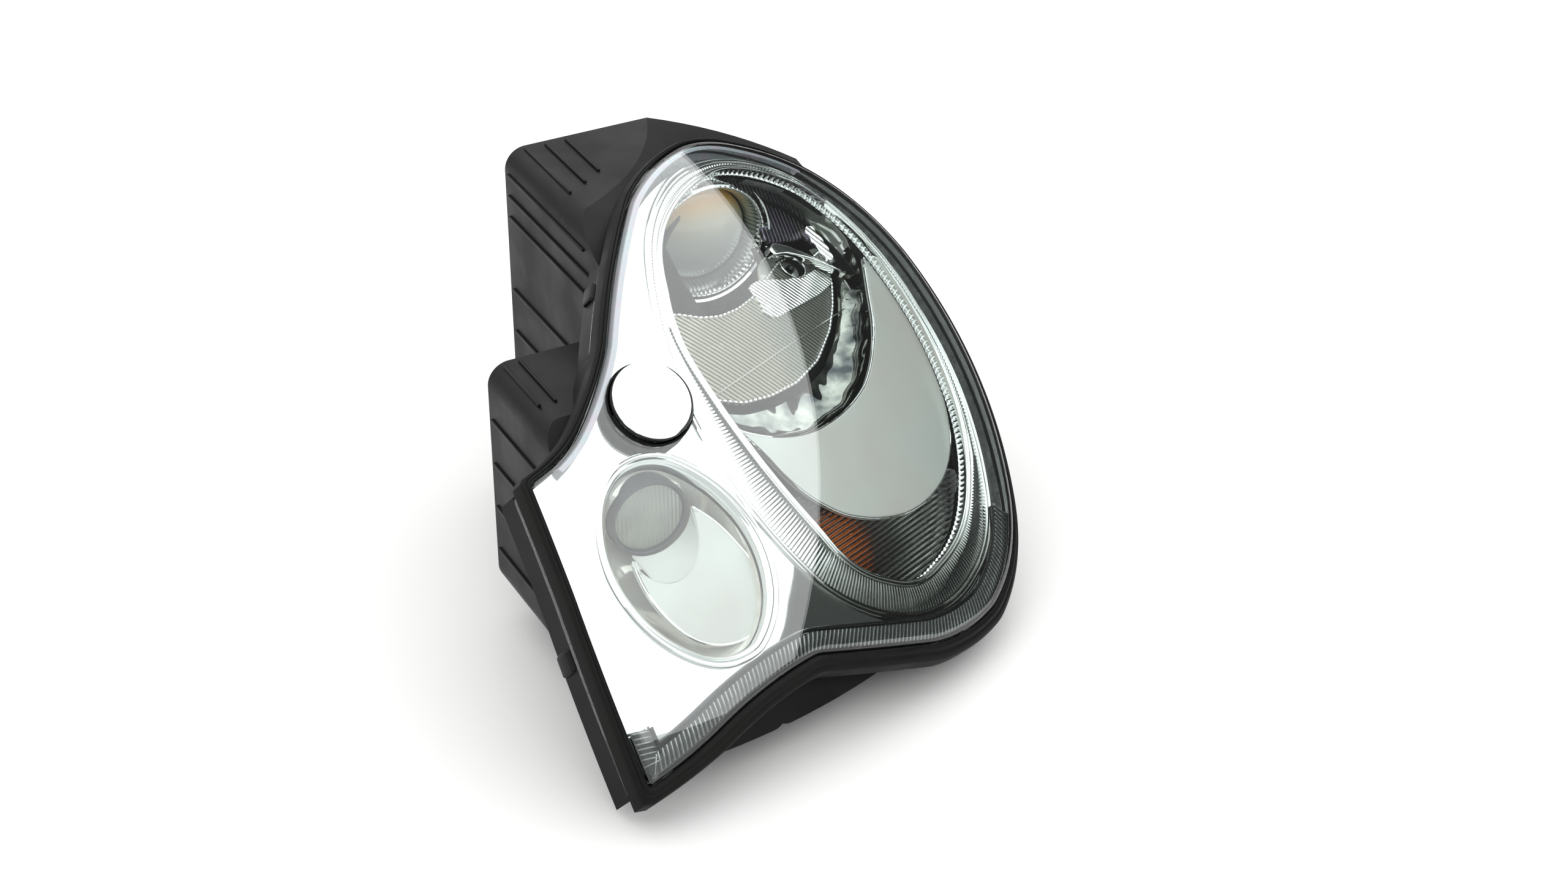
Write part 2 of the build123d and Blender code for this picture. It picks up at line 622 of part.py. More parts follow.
for side, (x, z) in zip(("right", "left"), GUIDE_PINS):
    with BuildPart() as guide_pin:
        with BuildSketch(Plane.XZ.offset(-REAR_Y)):
            with Locations((x, z)):
                Circle(GUIDE_PIN_R)
        extrude(amount=-GUIDE_PIN_LENGTH)
        chamfer(guide_pin.faces().sort_by(Axis.Y)[-1].edges(), length=1.5)
    save(guide_pin, f"guide_pin_{side}")

# ---------------------------------------------------------------- rear cover and service parts
COVER_GAP, COVER_THICK = 0.5, 8.0
COVER_KNUCKLE = (-30.0, 10.0)
with BuildPart() as rear_cover:
    with BuildSketch(Plane.XZ.offset(-(REAR_Y + COVER_GAP))):
        with Locations((SERVICE_X, SERVICE_Z)):
            RectangleRounded(SERVICE_WIDE + 12, SERVICE_HIGH + 12, 14)
    extrude(amount=-COVER_THICK)
    fillet(rear_cover.faces().sort_by(Axis.Y)[-1].edges(), radius=2)
    with BuildSketch(Plane.YZ.offset(COVER_KNUCKLE[0])):
        with Locations((HINGE_Y, HINGE_Z)):
            Circle(HINGE_R)
        with Locations((HINGE_Y - 1, HINGE_Z + 6)):
            Rectangle(6, 12)
        with Locations((HINGE_Y, HINGE_Z)):
            Circle(HINGE_PIN_R + 0.15, mode=Mode.SUBTRACT)
    extrude(amount=COVER_KNUCKLE[1] - COVER_KNUCKLE[0])
save(rear_cover, "rear_cover")

with BuildPart() as cover_pin:
    with BuildSketch(Plane.YZ.offset(HOUSING_KNUCKLES[0][0] - 2)):
        with Locations((HINGE_Y, HINGE_Z)):
            Circle(HINGE_PIN_R)
    extrude(amount=HOUSING_KNUCKLES[1][1] - HOUSING_KNUCKLES[0][0] + 4)
save(cover_pin, "cover_pin")

SOCKET_X, SOCKET_Z, SOCKET_WIDE, SOCKET_HIGH, SOCKET_LONG = 84.0, 150.0, 34.0, 24.0, 20.0
with BuildPart() as connector_socket:
    with BuildSketch(Plane.XZ.offset(-REAR_Y)):
        with Locations((SOCKET_X, SOCKET_Z)):
            RectangleRounded(SOCKET_WIDE, SOCKET_HIGH, 3)
    extrude(amount=-SOCKET_LONG)
    with BuildSketch(Plane.XZ.offset(-(REAR_Y + 3))):
        with Locations((SOCKET_X, SOCKET_Z)):
            RectangleRounded(SOCKET_WIDE - 5, SOCKET_HIGH - 5, 2)
    extrude(amount=-SOCKET_LONG, mode=Mode.SUBTRACT)
save(connector_socket, "connector_socket")

MOTOR_SIZE, MOTOR_Z = (44.0, 50.0, 44.0), 66.0
ROD_R, ROD_GAP = 3.0, 7.0
with BuildPart() as levelling_motor:
    with Locations((ARM_X + ARM_THICK / 2, REAR_Y - WALL - MOTOR_SIZE[1] / 2, MOTOR_Z)):
        Box(*MOTOR_SIZE)
    with BuildSketch(forward(ARM_X + ARM_THICK / 2, MOTOR_Z, REAR_Y - WALL - MOTOR_SIZE[1])):
        Circle(ROD_R)
    extrude(amount=REAR_Y - WALL - MOTOR_SIZE[1] - PIVOT_Y - 6 - ROD_GAP)
save(levelling_motor, "levelling_motor")

ADJUSTERS = (("upper", -98.0, 200.0), ("lower", 92.0, 100.0))  # name, x, z
for place, x, z in ADJUSTERS:
    with BuildPart() as adjuster:
        with BuildSketch(Plane.XZ.offset(-REAR_Y)):
            with Locations((x, z)):
                Circle(7)
        extrude(amount=-5)
        with BuildSketch(Plane.XZ.offset(-(REAR_Y + 5))):
            with Locations((x, z)):
                RegularPolygon(5.5, 6)
        extrude(amount=-8)
    save(adjuster, f"aim_adjuster_{place}")

FOG_CAP_AT, FOG_CAP_R, FOG_CAP_THICK, FOG_CAP_GRIP = (-165, 110), 24.0, 9.0, 7.0
with BuildPart() as fog_bulb_cap:
    with BuildSketch(Plane.XZ.offset(-FOG_BOX[3])):
        with Locations(FOG_CAP_AT):
            Circle(FOG_CAP_R)
    extrude(amount=-FOG_CAP_THICK)
    fillet(fog_bulb_cap.faces().sort_by(Axis.Y)[-1].edges(), radius=2)
    with BuildSketch(Plane.XZ.offset(-(FOG_BOX[3] + FOG_CAP_THICK))):
        with Locations(FOG_CAP_AT):
            Rectangle(36, 7)
    extrude(amount=-FOG_CAP_GRIP)
save(fog_bulb_cap, "fog_bulb_cap")

VENT_AT, VENT_R, VENT_LONG = (-90, 90), 8.0, 7.0
with BuildPart() as vent_cap:
    with BuildSketch(Plane.XZ.offset(-REAR_Y)):
        with Locations(VENT_AT):
            Circle(VENT_R)
    extrude(amount=-VENT_LONG)
save(vent_cap, "vent_cap")
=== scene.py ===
"""Front left headlamp unit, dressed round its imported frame: lens, bezel, rims, lamps, washer and housing."""

import logging
import math
from collections.abc import Callable, Iterable, Sequence
from dataclasses import dataclass, field
from enum import Enum
from typing import ClassVar, TypeVar

import bmesh
import bpy
from mathutils import Matrix, Vector


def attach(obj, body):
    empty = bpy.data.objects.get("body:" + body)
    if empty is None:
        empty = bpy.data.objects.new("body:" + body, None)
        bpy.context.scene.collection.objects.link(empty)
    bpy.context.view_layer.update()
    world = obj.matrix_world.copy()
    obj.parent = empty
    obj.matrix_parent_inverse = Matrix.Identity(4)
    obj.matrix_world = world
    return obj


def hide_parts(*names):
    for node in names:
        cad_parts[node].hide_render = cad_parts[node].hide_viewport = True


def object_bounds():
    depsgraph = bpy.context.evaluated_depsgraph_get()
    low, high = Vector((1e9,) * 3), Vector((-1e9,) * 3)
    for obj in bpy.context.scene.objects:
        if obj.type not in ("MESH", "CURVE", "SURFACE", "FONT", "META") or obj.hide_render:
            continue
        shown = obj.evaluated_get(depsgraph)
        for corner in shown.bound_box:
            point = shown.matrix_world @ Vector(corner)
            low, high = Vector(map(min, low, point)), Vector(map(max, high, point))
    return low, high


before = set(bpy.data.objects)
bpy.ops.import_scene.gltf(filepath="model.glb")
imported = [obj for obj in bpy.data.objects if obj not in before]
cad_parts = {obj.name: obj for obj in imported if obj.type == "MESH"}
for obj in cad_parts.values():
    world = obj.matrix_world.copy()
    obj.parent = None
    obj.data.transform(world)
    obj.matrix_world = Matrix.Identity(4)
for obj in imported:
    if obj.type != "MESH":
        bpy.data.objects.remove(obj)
CAD_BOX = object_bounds()
LOG = logging.getLogger("headlamp")
MM = 0.001
UP, ACROSS, REARWARD, FORWARD = Vector((0, 0, 1)), Vector((1, 0, 0)), Vector((0, 1, 0)), Vector((0, -1, 0))
CELL_MM = 20.0  # size of the cells that a plate is cut into, so that it follows the curved face
SIDES = 96  # of a turned piece
MERGE_MM, SLIVER_MM = 0.0008, 0.002  # points this close are one, and edges this short go
LEVEL_MM = 1e-4  # a face whose heights differ by less lies level

BMesh, Vert, Edge = bmesh.types.BMesh, bmesh.types.BMVert, bmesh.types.BMEdge
Tree, Socket = bpy.types.NodeTree, bpy.types.NodeSocket
T = TypeVar("T")
Row = tuple[float, float, float]
Spot = tuple[float, float]
Section = tuple[float, float]  # how far into the material from the outline, and z
Box = tuple[float, float, float, float, float, float]  # x, y, z of one corner and of the opposite one


# ---------------------------------------------------------------- small sums
def following(items: Sequence[T]) -> list[tuple[T, T]]:
    """Each item of a closed run with the next one."""
    return list(zip(items, [*items[1:], items[0]]))


def eased(items: Sequence[T]) -> list[T]:
    """A closed run of numbers or points, each drawn towards its neighbours."""
    return [(a + b * 2 + c) / 4 for a, b, c in zip([items[-1], *items[:-1]], items, [*items[1:], items[0]])]


def around(index: float, count: float, radius: float = 1.0) -> Vector:
    """Point of a circle about the origin, index of count steps round it."""
    a = math.tau * index / count
    return Vector((radius * math.cos(a), radius * math.sin(a)))


def wave(turns: float) -> float:
    """Smooth rise from 0 to 1 and back, once a turn."""
    return 0.5 - 0.5 * math.cos(math.tau * turns)


def heading(degrees: float) -> tuple[Vector, Vector]:
    """Direction on the flat face at an angle from u, and the one across it."""
    a = math.radians(degrees)
    return Vector((math.cos(a), math.sin(a), 0)), Vector((-math.sin(a), math.cos(a), 0))


def length(path: Sequence[Vector]) -> float:
    """Length of a closed path."""
    return sum((a - b).length for a, b in following(path))


def spread(path: Sequence[Vector], count: int) -> list[Vector]:
    """Evenly spaced points along a closed path."""
    step, made, walked, target = length(path) / count, [], 0.0, 0.0
    for a, b in following(path):
        gap = (b - a).length
        while gap > 0 and walked + gap >= target and len(made) < count:
            made.append(a + (b - a) * ((target - walked) / gap))
            target += step
        walked += gap
    return made


# ---------------------------------------------------------------- the lens's own frame
class Face:
    """The lens's frame: u across, v up its length, z = minus the depth under the lens's ball."""

    tilt, sweep, radius = math.radians(40.0), math.radians(14.0), 600.0
    apex = Vector((-50.0, -240.0, 170.0))
    v = Vector((0, math.cos(tilt), math.sin(tilt)))
    w = Vector((math.sin(sweep), -math.cos(sweep) * math.sin(tilt), math.cos(sweep) * math.cos(tilt)))
    u = v.cross(w)
    centre = apex - w * radius

    @classmethod
    def point(cls, p: Vector) -> Vector:
        """Place in the part's frame, in mm, of a point laid out flat as u, v, z."""
        r = cls.radius + p.z
        return cls.centre + cls.u * p.x + cls.v * p.y + cls.w * math.sqrt(r * r - p.x * p.x - p.y * p.y)

    @classmethod
    def flat(cls, p: Vector) -> Vector:
        """The u, v, z of a point of the part's frame, in mm."""
        d = p - cls.centre
        return Vector((d.dot(cls.u), d.dot(cls.v), d.length - cls.radius))

    @classmethod
    def turned(cls, degrees: float) -> Row:
        """Euler angles, in degrees, of axes laid along and across a direction of the flat face."""
        a = math.radians(degrees)
        along, way = cls.u * math.cos(a) + cls.v * math.sin(a), cls.v * math.cos(a) - cls.u * math.sin(a)
        return tuple(math.degrees(x) for x in Matrix((along, way, cls.w)).transposed().to_euler())

    @classmethod
    def normal(cls, p: Vector, n: Vector) -> Vector:
        """Direction in the part's frame of the normal n of a surface laid out flat, at p."""
        r = cls.radius + p.z
        f = math.sqrt(r * r - p.x * p.x - p.y * p.y)
        made = cls.u * (n.x + p.x * n.z / r) + cls.v * (n.y + p.y * n.z / r) + cls.w * (n.z * f / r)
        return made.normalized()


class Outline:
    """Closed line on the flat face, counter-clockwise, as points in mm."""

    def __init__(self, points: Sequence[Vector]) -> None:
        """Keeps the points in order."""
        self.points = [Vector(p[:2]) for p in points]

    @classmethod
    def wound(cls, points: Sequence[Vector]) -> "Outline":
        """Outline through points that may run either way round."""
        made = cls(points)
        if sum(a.x * b.y - b.x * a.y for a, b in following(made.points)) < 0:
            made.points.reverse()
        return made

    @classmethod
    def arcs(cls, rows: Sequence[Row], spacing: float = 2.0) -> "Outline":
        """Line through corners joined by arcs.

        Args:
            rows: u, v of each corner and the sagitta of the arc to the next one.
            spacing: distance between points, in mm.

        Returns:
            The outline, with its corners eased.
        """
        points: list[Vector] = []
        for (u0, v0, sag), (u1, v1, _) in following(rows):
            a, b = Vector((u0, v0)), Vector((u1, v1))
            chord = b - a
            side = Vector((-chord.y, chord.x)).normalized()
            count = max(2, round(chord.length / spacing))
            for i in range(count):
                t = i / count
                points.append(a + chord * t + side * (sag * 4 * t * (1 - t)))
        made = cls.wound(points)
        return made.resampled(max(24, round(made.length() / spacing))).relaxed(3)

    @classmethod
    def through(cls, spots: Sequence[Spot], spacing: float = 2.0) -> "Outline":
        """Line through corners joined by straight lengths, eased."""
        return cls.arcs([(u, v, 0) for u, v in spots], spacing)

    def length(self) -> float:
        """Length of the whole line."""
        return length(self.points)

    def resampled(self, count: int) -> "Outline":
        """The same line with this many evenly spaced points."""
        return Outline(spread(self.points, count))

    def relaxed(self, times: int) -> "Outline":
        """The line with its corners eased."""
        points = self.points
        for _ in range(times):
            points = eased(points)
        return Outline(points)

    def normals(self) -> list[Vector]:
        """Outward direction at each point."""
        pts = self.points
        around_each = zip(pts[-1:] + pts[:-1], pts[1:] + pts[:1])
        return [Vector((c.y - a.y, a.x - c.x)).normalized() for a, c in around_each]

    def grown(self, amount: float) -> "Outline":
        """The line moved outwards, or inwards when negative, in small steps that keep it simple."""
        steps = max(1, math.ceil(abs(amount) / 1.5))
        made = self
        for _ in range(steps):
            moved = made.shifted([amount / steps] * len(made.points))
            made = moved if steps == 1 else moved.relaxed(1)
            if abs(amount) > 8:
                made = made.resampled(len(self.points))
        return made

    def shifted(self, amounts: Sequence[float]) -> "Outline":
        """The line with each point moved along its outward normal by its own amount."""
        return Outline([p + n * a for p, n, a in zip(self.points, self.normals(), amounts)])

    def crossings(self, start: Vector, way: Vector) -> list[float]:
        """How far from a point, along a direction, the line is crossed."""
        made = []
        for a, b in following(self.points):
            e, d = b - a, a - start
            det = way.x * e.y - way.y * e.x
            if abs(det) > 1e-9 and -1e-6 <= (d.x * way.y - d.y * way.x) / det <= 1 + 1e-6:
                made.append((d.x * e.y - d.y * e.x) / det)
        return made

    def gaps(self, other: "Outline") -> list[float]:
        """Distance from each point to another line, measured along the normal, outwards positive."""
        made: list[float] = []
        for p, n in zip(self.points, self.normals()):
            found = other.crossings(p, n) or made[-1:] or [0.0]
            made.append(min(found, key=abs))
        return made

    def rays(self, centre: Vector, count: int) -> "Outline":
        """The line as the points where evenly turned rays from a centre cross it."""
        ways = [around(i, count) for i in range(count)]
        return Outline([centre + way * max([0.0, *self.crossings(centre, way)]) for way in ways])

    def run(self, keep: Callable[[Vector], bool]) -> list[Vector]:
        """The unbroken stretch of points that keep accepts, in order."""
        held = [keep(p) for p in self.points]
        start = next(i for i, inside in enumerate(held) if inside and not held[i - 1])
        turned = self.points[start:] + self.points[:start]
        return [p for p, inside in zip(turned, held[start:] + held[:start]) if inside]

    def less(self, other: "Outline") -> "Outline":
        """The line with the part that another one covers cut away, where they cross twice."""
        mine = self.run(lambda p: not other.holds(p))
        theirs = other.run(self.holds)
        return Outline(mine + theirs[::-1]).resampled(len(self.points)).relaxed(1)

    def holds(self, p: Vector) -> bool:
        """Whether a point lies inside the line."""
        inside = False
        for a, b in following(self.points):
            if (a.y > p.y) != (b.y > p.y) and p.x < a.x + (p.y - a.y) * (b.x - a.x) / (b.y - a.y):
                inside = not inside
        return inside

    def at(self, z: float) -> list[Vector]:
        """The points at one height."""
        return [Vector((p.x, p.y, z)) for p in self.points]

    def rings(self, rows: Sequence[Section], sign: float = -1.0) -> list[list[Vector]]:
        """A ring for each row, moved inwards by its first number, or outwards with a sign of 1."""
        return [self.grown(sign * into).at(z) for into, z in rows]

    def sections(self, rows: Sequence[Section], keep: Callable[[Vector], bool]) -> list[list[Vector]]:
        """The cross-section rows at each point of the stretch that keep accepts."""
        ways = self.normals()
        kept = [(p, ways[self.points.index(p)]) for p in self.run(keep)]
        return [[Vector((*(p - n * into), z)) for into, z in rows] for p, n in kept]


def line_of(*spots: Spot) -> Outline:
    """Dataclass field that holds the line through spots of the flat face."""
    return field(default_factory=lambda: Outline.through(spots))


# ---------------------------------------------------------------- mesh helpers
def loft(bm: BMesh, rings: Sequence[Sequence[Vector]], close: bool = False) -> list[list[Vert]]:
    """Skin through rings of points, made as a circle that is extruded ring by ring.

    Args:
        bm: mesh that the skin is added to.
        rings: rings of equal length, in order.
        close: whether the last ring joins the first.

    Returns:
        The vertices of each ring.
    """
    start = bmesh.ops.create_circle(bm, cap_ends=False, segments=len(rings[0]), radius=1)["verts"][0]
    current = [start, start.link_edges[0].other_vert(start)]
    while len(current) < len(rings[0]):
        last = current[-1]
        others = [e.other_vert(last) for e in last.link_edges]
        current.append(next(v for v in others if v is not current[-2]))
    made = [current]
    for v, p in zip(current, rings[0]):
        v.co = p
    for ring in rings[1:]:
        geom = bmesh.ops.extrude_edge_only(bm, edges=ring_edges(bm, current))["geom"]
        fresh = {g for g in geom if isinstance(g, Vert)}
        current = [next(e.other_vert(v) for e in v.link_edges if e.other_vert(v) in fresh) for v in current]
        for v, p in zip(current, ring):
            v.co = p
        made.append(current)
    if close:
        bmesh.ops.bridge_loops(bm, edges=ring_edges(bm, made[0]) + ring_edges(bm, made[-1]))
    return made


def bar(bm: BMesh, sections: Sequence[Sequence[Vector]]) -> None:
    """Bar with closed ends, skinned through closed cross-sections."""
    made = loft(bm, sections)
    for ring in (made[0], made[-1]):
        bmesh.ops.holes_fill(bm, edges=ring_edges(bm, ring), sides=0)


def ring_edges(bm: BMesh, ring: Sequence[Vert]) -> list[Edge]:
    """Edges of a closed ring of vertices."""
    return [bm.edges.get(pair) for pair in following(ring)]


def slab(bm: BMesh, contours: Sequence[tuple[Outline, Sequence[Section]]]) -> None:
    """Closed plate between outlines: the first is its edge, the others are holes in it.

    Args:
        bm: mesh that the plate is added to.
        contours: each outline with the sections of its wall, from the top skin to the bottom one.
    """
    walls = []
    for index, (outline, sections) in enumerate(contours):
        inner = (sections[0][0] + 0.5, sections[0][1])
        walls.append(loft(bm, outline.rings([inner, *sections], 1.0 if index else -1.0)))
    for side in (0, -1):
        edges = [edge for wall in walls for edge in ring_edges(bm, wall[side])]
        bmesh.ops.triangle_fill(bm, use_beauty=True, use_dissolve=False, edges=edges, normal=UP)


def bisect(bm: BMesh, way: Vector, pitch: float) -> None:
    """Cuts a mesh by parallel planes, pitch mm apart."""
    spots = [v.co.dot(way) for v in bm.verts]
    for k in range(math.ceil(min(spots) / pitch), math.floor(max(spots) / pitch) + 1):
        geom = bm.verts[:] + bm.edges[:] + bm.faces[:]
        bmesh.ops.bisect_plane(bm, geom=geom, dist=SLIVER_MM, plane_co=way * (k * pitch), plane_no=way)


def cut_cells(bm: BMesh, size: float, turn: float = 0.0) -> None:
    """Cuts a mesh into strips of a size along the direction turn, and these into cells."""
    along, way = heading(turn)
    bisect(bm, way, size)
    bisect(bm, along, CELL_MM)


@dataclass(frozen=True)
class Flutes:
    """Parallel flutes that stand up from a plate.

    The pitch and height are in mm, turn is their direction in degrees from u, only what lies above floor
    is raised, and wobble says how far they stray from straight, in mm.
    """

    pitch: float
    height: float
    turn: float
    floor: float
    wobble: float = 0.0

    def cut(self, bm: BMesh) -> None:
        """Cuts a plate laid out flat into strips and raises every other line of them."""
        cut_cells(bm, self.pitch / 5, self.turn)
        along, way = heading(self.turn)
        for v in bm.verts:
            if v.co.z > self.floor:
                run = v.co.dot(along)
                stray = self.wobble * (math.sin(run / 5.3) + 0.6 * math.sin(run / 2.1 + 1))
                v.co.z += self.height * wave((v.co.dot(way) + stray) / self.pitch)


def beads(bm: BMesh, path: Sequence[Vector], radius: float, pitch: float) -> None:
    """String of beads along a closed path, seen from above.

    Args:
        bm: mesh that the beads are added to.
        path: points of the path.
        radius: size of a bead.
        pitch: distance between beads, in mm.
    """
    count = round(length(path) / pitch) * 4
    spots = spread(path, count)
    rings = []
    for i, spot in enumerate(spots):
        along = (spots[(i + 1) % count] - spots[i - 1]).normalized()
        side = along.cross(UP).normalized()
        rise = side.cross(along)
        size = radius * (0.5, 0.9, 1.0, 0.9)[i % 4]
        turns = [around(k, 8) for k in range(8)]
        rings.append([spot + (side * t.x + rise * t.y) * size for t in turns])
    loft(bm, rings, close=True)


def spin(bm: BMesh, profile: Sequence[Spot], sides: int) -> list[list[Vert]]:
    """Turned shape about +Z through rows of radius and height.

    Args:
        bm: mesh that the shape is added to.
        profile: radius and z of each ring; a radius of 0 closes an end, else the last ring joins the first.
        sides: how many sides it has.

    Returns:
        The rings of vertices, poles left out.
    """
    ends = (profile[0], profile[-1])
    points = [[Vector((*around(i, sides, r), z)) for i in range(sides)] for r, z in profile if r > 0]
    rings = loft(bm, points, close=all(r > 0 for r, _ in ends))
    for ring, (r, z) in zip((rings[0], rings[-1]), ends):
        if r == 0:
            pole = bmesh.ops.extrude_edge_only(bm, edges=ring_edges(bm, ring))["geom"]
            tips = [g for g in pole if isinstance(g, Vert)]
            for v in tips:
                v.co = Vector((0, 0, z))
            bmesh.ops.remove_doubles(bm, verts=tips, dist=0.0005)
    return rings


def blocks(bm: BMesh, boxes: Iterable[Box], edge: float) -> None:
    """Boxes with rolled edges."""
    for box in boxes:
        low, high = Vector(box[:3]), Vector(box[3:])
        verts = bmesh.ops.create_cube(bm, size=1.0)["verts"]
        bmesh.ops.scale(bm, vec=high - low, verts=verts)
        bmesh.ops.translate(bm, vec=(high + low) / 2, verts=verts)
        edges = list({e for v in verts for e in v.link_edges})
        rolls = {"segments": 2, "profile": 0.5, "affect": "EDGES", "material": -1, "clamp_overlap": True}
        bmesh.ops.bevel(bm, geom=edges, offset=edge, **rolls)


def facing(place: Vector, forward: Vector, across: Vector = ACROSS) -> Matrix:
    """Matrix that stands a shape built about +Z at a place, its +Z along forward and its +X near across."""
    z = forward.normalized()
    x = (across - z * across.dot(z)).normalized()
    return Matrix.Translation(place) @ Matrix((x, z.cross(x), z)).transposed().to_4x4()


def rounded(x: float, z: float, wide: float, high: float, radius: float, y: float) -> list[Vector]:
    """Points of a rounded rectangle that stands across the part at y, about x and z."""
    made = []
    for k, (sx, sz) in enumerate(((1, 1), (-1, 1), (-1, -1), (1, -1))):
        corner = Vector((x + sx * (wide / 2 - radius), y, z + sz * (high / 2 - radius)))
        turns = [around(90 * k + 15 * i, 360, radius) for i in range(7)]
        made += [corner + Vector((turn.x, 0, turn.y)) for turn in turns]
    return made


def rolled(low: float, top: float, thick: float) -> list[Section]:
    """Cross-section of a bead with rolled edges, from its outer foot to its inner one."""
    side = [(0, low), (0, top - 0.8), (0.25, top - 0.25), (0.8, top)]
    return side + [(thick - into, y) for into, y in reversed(side)]


def raised_frame(bm: BMesh, x: float, z: float, size: Row, low: float, top: float, thick: float) -> None:
    """Bead round a rounded rectangle on a rear face; its size is width, height and corner radius."""
    wide, high, radius = size
    rows = rolled(low, top, thick)
    frames = [rounded(x, z, wide - 2 * d, high - 2 * d, max(1.0, radius - d), y) for d, y in rows]
    loft(bm, frames, close=True)


# ---------------------------------------------------------------- finishes
def linear(code: str, alpha: float = 1.0) -> tuple[float, float, float, float]:
    """Linear colour of an sRGB hex code such as "#CDD0CB"."""
    parts = [int(code[i : i + 2], 16) / 255 for i in (1, 3, 5)]
    r, g, b = (c / 12.92 if c <= 0.04045 else ((c + 0.055) / 1.055) ** 2.4 for c in parts)
    return (r, g, b, alpha)


def add(
    tree: Tree,
    kind: str,
    values: dict[str | int, object] | None = None,
    links: dict[str | int, Socket] | None = None,
    **settings: object,
) -> bpy.types.Node:
    """Adds one node.

    Args:
        tree: node tree it goes in.
        kind: Blender's name of the node type, after ShaderNode.
        values: input values by socket.
        links: sockets that feed its inputs.
        **settings: properties of the node.

    Returns:
        The node.
    """
    node = tree.nodes.new("ShaderNode" + kind)
    for key, value in settings.items():
        setattr(node, key, value)
    for key, value in (values or {}).items():
        node.inputs[key].default_value = value
    for key, socket in (links or {}).items():
        tree.links.new(socket, node.inputs[key])
    return node


def material(name: str, surface: Callable[[Tree], Socket]) -> bpy.types.Material:
    """Material whose surface is what the function adds to its tree."""
    made = bpy.data.materials.new(name)
    made.use_nodes = True
    tree = made.node_tree
    tree.nodes.clear()
    out = add(tree, "OutputMaterial")
    tree.links.new(surface(tree), out.inputs["Surface"])
    return made


def ramp(tree: Tree, factor: Socket, stops: Sequence[tuple[float, str]]) -> Socket:
    """Colour ramp through hex colours, fed by factor."""
    node = add(tree, "ValToRGB", links={"Fac": factor})
    band = node.color_ramp
    while len(band.elements) < len(stops):
        band.elements.new(0.5)
    for element, (place, code) in zip(band.elements, stops):
        element.position, element.color = place, linear(code)
    return node.outputs["Color"]


def place_mm(tree: Tree, centre: Sequence[float] = (0, 0, 0), turn: Sequence[float] = (0, 0, 0)) -> Socket:
    """Object coordinates in mm about a centre, turned by degrees."""
    where = add(tree, "TexCoord").outputs["Object"]
    spot = {"Location": tuple(c * MM for c in centre), "Rotation": tuple(math.radians(t) for t in turn)}
    node = add(tree, "Mapping", {**spot, "Scale": (MM, MM, MM)}, {"Vector": where}, vector_type="TEXTURE")
    return node.outputs["Vector"]


